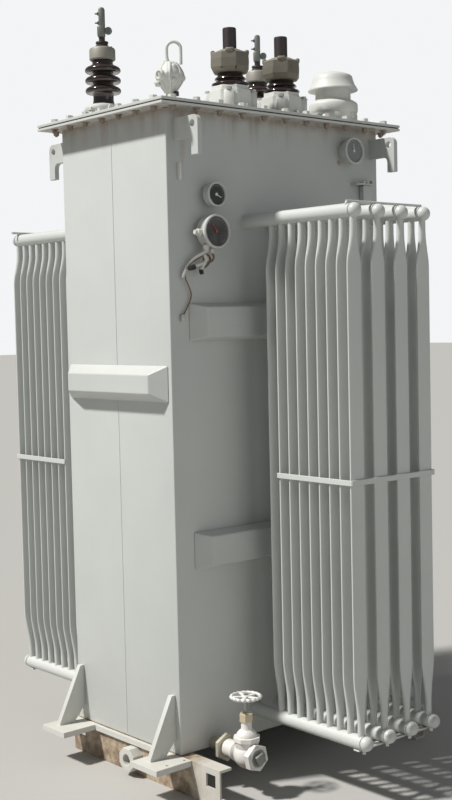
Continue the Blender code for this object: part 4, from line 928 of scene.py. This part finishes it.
vent = {"x": -0.441, "y": -0.25, "stem": 0.016, "stemHeight": 0.034, "body": 0.048, "bodyHeight": 0.107,
    "turn": -41.0, "pipe": 0.0054, "back": 0.01, "rise": 0.041, "drop": 0.052, "arch": 0.0235,
    "cock": 0.0185, "cockReach": 0.053, "cockUp": 0.092, "mouthTurn": -136.0, "sideTurn": -165.0,
    "lobes": ((-20.0, 0.64, 0.035, 0.0115), (0.0, 0.48, 0.039, 0.0125), (20.0, 0.28, 0.024, 0.0105),
    (-70.0, 0.4, 0.033, 0.012), (-60.0, 0.78, 0.026, 0.0125), (150.0, 0.8, 0.029, 0.015),
    (180.0, 0.54, 0.037, 0.013), (-150.0, 0.26, 0.024, 0.0095), (100.0, 0.56, 0.039, 0.012),
    (60.0, 0.74, 0.031, 0.0125), (-100.0, 0.58, 0.037, 0.011), (-95.0, 0.16, 0.016, 0.0085)),
    "shape": ((0.36, 0.06), (0.6, 0.24), (0.84, 0.4), (0.93, 0.52), (0.92, 0.62), (0.82, 0.72), (0.72, 0.82),
    (0.55, 0.92), (0.34, 0.985), (0, 1)), "ribShape": ((0.32, 0.05), (0.58, 0.22), (0.82, 0.38),
    (0.91, 0.52), (0.88, 0.66), (0.52, 0.92)), "mouthShape": ((0.75, 0.02), (1, 0.017), (1.02, 0.009),
    (0.92, 0.003), (0.74, 0.0005), (0.56, 0.003), (0.5, 0.01), (0.5, 0.016), (0, 0.016))}


def makeVent():
    values = vent
    here = at(values["x"], values["y"], onCover) @ turned(values["turn"], "Z")
    low, tall, wide = values["stemHeight"], values["bodyHeight"], values["body"]
    stem, cock, reach = values["stem"], values["cock"], values["cockReach"]
    bm = bmesh.new()
    addPrism(bm, 6, 0.024, 0.012, here)
    profile = [(wide * out, low + tall * up) for out, up in values["shape"]]
    addTurned(bm, [(0, 0.01), (stem, 0.01), (stem, low - 0.002)] + profile, 28, here)
    for i in range(7):  # ribs down the casting
        place = here @ turned(360 / 7 * i + 15, "Z")
        path = [place @ Vector((wide * out, 0, low + tall * up)) for out, up in values["ribShape"]]
        addTube(bm, smoothPath(path, 3), 0.0052, 8)
    up = values["cockUp"]
    for aim, rise, size in ((values["mouthTurn"], up, 1.0), (values["sideTurn"], up - 0.026, 0.52)):
        sideways = here @ at(0, 0, rise) @ turned(aim, "Z") @ turned(90, "Y")
        ring = cock * size
        mouth = [(ring * out, reach - back) for out, back in values["mouthShape"]]
        addTurned(bm, [(0, 0.01), (ring * 0.75, 0.01)] + mouth, 24, sideways)
    for aim, rise, out, size in values["lobes"]:
        lobe = here @ turned(aim, "Z") @ at(out, 0, low + tall * rise)
        bmesh.ops.create_uvsphere(bm, u_segments=16, v_segments=10, radius=size, matrix=lobe)
    addPrism(bm, 6, 0.013, 0.016, here @ at(-0.01, 0, low + tall * 0.86))
    finishPiece("ventCasting", bm, "whiteCasting", "vent_fitting", angle=45)
    bm = bmesh.new()
    top = low + tall + values["rise"]
    start, arch = -values["back"], values["arch"]
    points = [(start + 0.017, 0, low + tall * 0.62), (start + 0.008, 0, low + tall * 0.86),
        (start + 0.001, 0, top - 0.03), (start, 0, top - 0.012)]
    for i in range(9):
        a = math.radians(180 - 22.5 * i)
        points.append((start + arch * (1 + math.cos(a)), 0, top + arch * math.sin(a)))
    points.append((start + 2 * arch, 0, top - values["drop"] + 0.001))
    addTube(bm, smoothPath([here @ Vector(point) for point in points], 3), values["pipe"], 12)
    finishPiece("ventPipe", bm, "whiteCasting")
    bm = bmesh.new()
    addBolt(bm, here @ at(0.02, -0.018, low - 0.01), 0.017, 0.014)
    # painted shade: a black disc at the bottom of the shallow mouth stands for the dark inside of the open
    # vent
    mouth = here @ at(0, 0, up) @ turned(values["mouthTurn"], "Z") @ turned(90, "Y")
    disc = [(0, 0), (cock * 0.49, 0), (cock * 0.49, 0.001), (0, 0.001)]
    addTurned(bm, disc, 16, mouth @ at(0, 0, reach - 0.0158))
    finishPiece("ventDarkBits", bm, "blackPlugAndShade")
    print("vent done")


# gauges on the front wall

dials = {"upperThermometer": {"x": -0.334, "z": 2.017, "radius": 0.043, "depth": 0.032, "off": 0.02,
    "stem": 0.018, "node": "thermometer_upper", "face": "dialBlack", "ticks": 18, "sweep": 270, "hand": -118,
    "handColour": "markWhite"}, "lowerThermometer": {"x": -0.351, "z": 1.892, "radius": 0.058,
    "depth": 0.048, "off": 0.02, "stem": 0.018, "node": "thermometer_lower", "face": "dialBlack",
    "ticks": 28, "sweep": 280, "hand": 40, "handColour": "markRed"},
    "levelGauge": {"x": 0.34, "z": 2.209, "radius": 0.05, "depth": 0.026, "off": 0.024, "stem": 0.038,
    "node": "level_gauge", "face": "dialGrey", "ticks": 10, "sweep": 180, "hand": 4,
    "handColour": "markWhite"}}


def makeDial(name, values):
    here = at(values["x"], wallY, values["z"]) @ outFront
    radius, off, stem = values["radius"] - tuck, values["off"], values["stem"]
    front = off + values["depth"]
    recess = front - 0.01
    inner = radius - 0.0075
    bm = bmesh.new()
    profile = [(0, tuck), (stem, tuck), (stem, off - 0.002), (stem + 0.003, off), (radius - 0.004, off),
        (radius - 0.0015, off + 0.003), (radius - 0.0015, front - 0.013), (radius, front - 0.011),
        (radius, front - 0.003), (radius - 0.0025, front - tuck), (inner + 0.001, front - 0.0008),
        (inner, front - 0.003), (inner, recess), (0, recess)]
    addTurned(bm, profile, 48, here)
    finishPiece(name + "Case", bm, "gaugeCase", values["node"])
    bm = bmesh.new()
    addPrism(bm, 40, inner - tuck, 0.0012, here @ at(0, 0, recess))
    finishPiece(name + "Face", bm, values["face"])
    marks = bmesh.new()
    for i in range(values["ticks"]):
        a = 90 + values["sweep"] / 2 - values["sweep"] * i / (values["ticks"] - 1)
        long = 0.006 if i % 3 == 0 else 0.0035
        place = here @ turned(a, "Z") @ at(inner - 0.0035 - long / 2, 0, recess + 0.0014)
        addBlock(marks, (long, 0.0009, 0.0006), place)
    finishPiece(name + "Marks", marks, "markWhite", smooth=False)
    hand = bmesh.new()
    place = here @ turned(values["hand"] + 90, "Z") @ at(inner * 0.26, 0, recess + 0.0034)
    addBlock(hand, (inner * 0.72, 0.003, 0.0008), place)
    addPrism(hand, 16, 0.0052, 0.0035, here @ at(0, 0, recess + 0.001))
    finishPiece(name + "Hand", hand, values["handColour"], smooth=False)


gaugeFittings = {"conduits": ((0.0056, 6, ((-0.385, -0.349, 1.826), (-0.398, -0.346, 1.819),
    (-0.425, -0.335, 1.803), (-0.447, -0.325, 1.777), (-0.4585, -0.322, 1.756), (-0.464, -0.32, 1.74))),
    (0.0058, 6, ((-0.392, -0.347, 1.815), (-0.386, -0.349, 1.8), (-0.39, -0.345, 1.789),
    (-0.405, -0.339, 1.783), (-0.424, -0.336, 1.777))),
    (0.0054, 5, ((-0.391, -0.345, 1.79), (-0.393, -0.341, 1.776), (-0.399, -0.335, 1.763)))),
    "wire": ((-0.357, -0.345, 1.822), (-0.352, -0.349, 1.808), (-0.36, -0.347, 1.793),
    (-0.378, -0.343, 1.79), (-0.392, -0.343, 1.797), (-0.384, -0.339, 1.814), (-0.362, -0.335, 1.812),
    (-0.356, -0.334, 1.795), (-0.372, -0.33, 1.776), (-0.398, -0.328, 1.766)),
    "plugs": ((0.009, 0.024, (-0.424, -0.334, 1.774), -100, "Y"),
    (0.0075, 0.014, (-0.398, -0.335, 1.764), 160, "X"))}


def makeGaugeFittings():
    # small connectors on the lower thermometer, its conduits and loops
    low = dials["lowerThermometer"]
    middle = wallY - low["off"] - low["depth"] * 0.5
    bm = bmesh.new()
    aside = at(low["x"] - low["radius"], middle, low["z"] - 0.004) @ turned(-90, "Y")
    addPrism(bm, 10, 0.0125, 0.016, aside @ at(0, 0, -0.002))
    addPrism(bm, 8, 0.008, 0.012, aside @ at(0, 0, 0.013))
    under = at(low["x"] - 0.034, middle, low["z"] - 0.0445) @ turned(180, "X")
    addPrism(bm, 12, 0.0115, 0.014, under)
    addPrism(bm, 6, 0.0095, 0.01, under @ at(0, 0, 0.013))
    beside = at(low["x"] - 0.006, middle + 0.004, low["z"] - 0.0565) @ turned(180, "X")
    addPrism(bm, 10, 0.008, 0.016, beside)
    finishPiece("gaugeConnectors", bm, "whiteConduit", soft=0.0008)
    bm = bmesh.new()
    for radius, perSpan, points in gaugeFittings["conduits"]:
        addTube(bm, smoothPath(points, perSpan), radius, 10)
    finishPiece("gaugeConduits", bm, "whiteConduit")
    bm = bmesh.new()
    addTube(bm, smoothPath(gaugeFittings["wire"], 5), 0.0035, 8)
    finishPiece("gaugeWires", bm, "brownCable")
    bm = bmesh.new()
    for radius, length, place, degrees, axis in gaugeFittings["plugs"]:
        addPrism(bm, 12, radius, length, at(*place) @ turned(degrees, axis))
    finishPiece("gaugePlugs", bm, "blackPlugAndShade", soft=0.0008)


gaugeLead = {"radius": 0.0026, "start": (-0.385, 1.8405), "clip": (-0.464, 1.606),
    "clipSize": (0.014, 0.0155, 0.022), "startOut": 0.044, "clipOut": 0.0083}


def makeGaugeLead():
    dialY = wallY - gaugeLead["startOut"]
    near = wallY - gaugeLead["clipOut"]
    x, clipZ = gaugeLead["clip"]
    startX, startZ = gaugeLead["start"]
    points = [(startX, dialY, startZ), (startX, dialY, startZ - 0.014),
        (startX - 0.018, dialY + 0.004, startZ - 0.032), (x + 0.019, near - 0.018, startZ - 0.06),
        (x + 0.008, near - 0.008, startZ - 0.096), (x + 0.037, near - 0.003, startZ - 0.156),
        (x + 0.02, near - 0.001, startZ - 0.2), (x, near, clipZ + 0.005)]
    bm = bmesh.new()
    addTube(bm, smoothPath(points, 14), gaugeLead["radius"], 8)
    finishPiece("gaugeLead", bm, "brownCable", "gauge_lead")
    bm = bmesh.new()
    addBlock(bm, gaugeLead["clipSize"], at(x, near, clipZ), 0.0025)
    addBolt(bm, at(x, near - 0.0075, clipZ) @ outFront, 0.007, 0.003)
    finishPiece("gaugeLeadClip", bm, "boltZinc")
    print("gauges done")


smallFittings = {"box": (0.4315, 2.06), "boxSize": (0.044, 0.024, 0.052), "shelf": (0.412, 2.092),
    "shelfSize": (0.096, 0.034, 0.006), "shelfBolts": (0.418, 0.438), "stud": 0.456, "tab": (-0.464, 2.09),
    "tabSize": (0.0055, 0.018, 0.056), "wallGap": 0.0002}


def addWallBlock(bm, what, ease):
    x, z = smallFittings[what]
    size = smallFittings[what + "Size"]
    addBlock(bm, size, at(x, wallY - size[1] / 2 - smallFittings["wallGap"], z), ease)


def makeSmallFittings():
    bm = bmesh.new()
    addWallBlock(bm, "box", 0.003)
    x, z = smallFittings["box"]
    wide, deep, tall = smallFittings["boxSize"]
    addBlock(bm, (wide + 0.005, 0.0035, tall + 0.004), at(x, wallY - deep + 0.001, z), 0.0012)  # its lid
    addWallBlock(bm, "shelf", 0.0012)
    finishPiece("terminalBracket", bm, "tankPaint")
    bm = bmesh.new()
    deep, tall = smallFittings["shelfSize"][1:]
    level = smallFittings["shelf"][1] + tall / 2
    for x in smallFittings["shelfBolts"]:
        addBolt(bm, at(x, wallY - deep * 0.55, level), 0.013, 0.008, 0.0015)
    finishPiece("terminalBolts", bm, "whiteCasting")
    bm = bmesh.new()
    addBolt(bm, at(smallFittings["stud"], wallY - deep * 0.5, level), 0.012, 0.01, 0.0015)
    finishPiece("terminalStud", bm, "nutSteel")
    bm = bmesh.new()
    addWallBlock(bm, "tab", 0.0015)
    finishPiece("groundTab", bm, "wheelPaint")


# drain valve

valve = {"x": -0.365, "z": 0.141, "stemOut": 0.172, "pipe": 0.022, "union": 0.05, "globe": 0.046,
    "outlet": 0.047, "neck": 0.04, "wheel": 0.056, "wheelZ": 0.3381, "lobes": 18, "spokes": 5, "rim": 0.0066,
    "bonnetUp": 0.0475, "stemFoot": 0.2843}


def addWheelRim(bm, wheel, rim, lobes):
    addRing(bm, wheel - rim, rim * 0.92, 108, 10, at(0, 0, 0))
    for vert in bm.verts:
        out = math.hypot(vert.co.x, vert.co.y)
        wave = 0.5 + 0.5 * math.cos(lobes * math.atan2(vert.co.y, vert.co.x))
        outer = max(0.0, (out - (wheel - 2 * rim)) / (2 * rim))
        pull = -rim * (1 - wave) ** 1.3 * outer
        vert.co.x *= (out + pull) / out
        vert.co.y *= (out + pull) / out
        vert.co.z *= 1.0 - 0.18 * (1 - wave) * outer


def makeValve():
    values = valve
    x, z = values["x"], values["z"]
    along = at(x, wallY, z) @ outFront
    centre, globe, neck = values["stemOut"], values["globe"], values["neck"]
    stemY = wallY - centre
    bm = bmesh.new()
    profile = [(0, 0.072), (0.031, 0.072), (0.03, 0.1), (0.034, 0.124)]
    for i in range(9):
        a = math.radians(150 - 15 * i)
        profile.append((globe * math.sin(a), centre + globe * math.cos(a)))
    addTurned(bm, profile + [(0.038, 0.2085), (0, 0.2085)], 40, along)
    addTurned(bm, [(0, 0.0), (neck - 0.002, 0.0), (neck - 0.002, 0.034), (neck, 0.038), (neck, 0.0472),
        (0, 0.0472)], 40, at(x, stemY, z))
    finishPiece("valveBody", bm, "valvePaint", "drain_valve_body", angle=45)
    bm = bmesh.new()
    addPrism(bm, 6, values["outlet"], 0.022, along @ at(0, 0, 0.2055) @ turned(12, "Z"))
    addTurned(bm, [(0.03, 0.227), (0.036, 0.227), (0.038, 0.2285), (0.037, 0.2305), (0.032, 0.2308),
        (0.03, 0.229)], 36, along)
    addPrism(bm, 6, 0.034, 0.004, along @ at(0, 0, 0.2262))
    finishPiece("valveOutlet", bm, "valvePaint", soft=0.0022)
    bm = bmesh.new()
    addPrism(bm, 20, 0.029, 0.003, along @ at(0, 0, 0.2285))
    addBlock(bm, (0.033, 0.033, 0.0155), along @ at(0, 0, 0.238) @ turned(20, "Z"), 0.0025)
    finishPiece("valvePlug", bm, "clampAluminium")
    bm = bmesh.new()
    addPrism(bm, 20, values["pipe"] - tuck, 0.048, along @ at(0, 0, tuck))
    addPrism(bm, 6, values["union"] - 0.0006, 0.014, along @ at(0, 0, 0.059))
    addTurned(bm, [(0, 0.046), (0.03, 0.046), (0.032, 0.048), (0.032, 0.06), (0, 0.06)], 32, along)
    finishPiece("valveUnion", bm, "paleBrass", soft=0.0018)

    bm = bmesh.new()
    low = at(x, stemY, z + values["bonnetUp"] + gap)
    addPrism(bm, 8, 0.0468, 0.0155, low @ turned(22.5, "Z"))
    addTurned(bm, [(0, 0.014), (0.035, 0.014), (0.035, 0.02), (0.033, 0.026), (0.026, 0.034),
        (0.0195, 0.039), (0.018, 0.044), (0.018, 0.066), (0, 0.066)], 36, low)
    finishPiece("valveBonnet", bm, "valvePaint", "drain_valve_bonnet", 0.0015)
    bm = bmesh.new()
    addPrism(bm, 6, 0.0243, 0.0275, low @ at(0, 0, 0.066) @ turned(10, "Z"), 0.0235)
    addPrism(bm, 20, 0.013, 0.0022, low @ at(0, 0, 0.0928))
    finishPiece("valveGland", bm, "agedBrass", soft=0.0016)

    # the wheel: lobed rim, flat spokes, hub and stem
    bm = bmesh.new()
    addWheelRim(bm, values["wheel"], values["rim"], values["lobes"])
    high = values["wheelZ"]
    middle = at(x, stemY, high)
    bmesh.ops.transform(bm, matrix=middle, verts=bm.verts)
    for i in range(values["spokes"]):
        spoke = middle @ turned(360 / values["spokes"] * i, "Z")
        addBlock(bm, (0.036, 0.0125, 0.006), spoke @ at(0.029, 0, 0), 0.0022)
    addTurned(bm, [(0, -0.0078), (0.0125, -0.0078), (0.0138, -0.006), (0.0138, 0.004), (0.0115, 0.006),
        (0, 0.006)], 24, middle)
    finishPiece("valveWheel", bm, "wheelPaint", "drain_valve_handwheel", body="handwheel",
        angle=50)
    bm = bmesh.new()
    addPrism(bm, 6, 0.0085, 0.0045, middle @ at(0, 0, 0.0032))
    foot, top, stem = values["stemFoot"], high - 0.006, 0.008
    addTurned(bm, [(0, foot), (stem, foot), (stem, top), (0, top)], 16, at(x, stemY, 0))
    finishPiece("valveStem", bm, "clampAluminium", body="handwheel")
    print("valve done")


makeMaterials()
makeCamera()
makeLights()
makeFloor()
makeTankAndBase()
makeWelds()
makeCoverBolts()
makeRadiators()
makeTieRods()
for number, side in ((1, -1), (2, 1)):
    makeHighBushing(number, side * highBushing["x"])
    makeLowBushing(number, side * lowBushing["x"])
print("bushings done")
makeRelief()
makeVent()
for name, values in dials.items():
    makeDial(name, values)
makeGaugeFittings()
makeGaugeLead()
makeSmallFittings()
makeValve()

bpy.context.scene.view_settings.view_transform = "Standard"
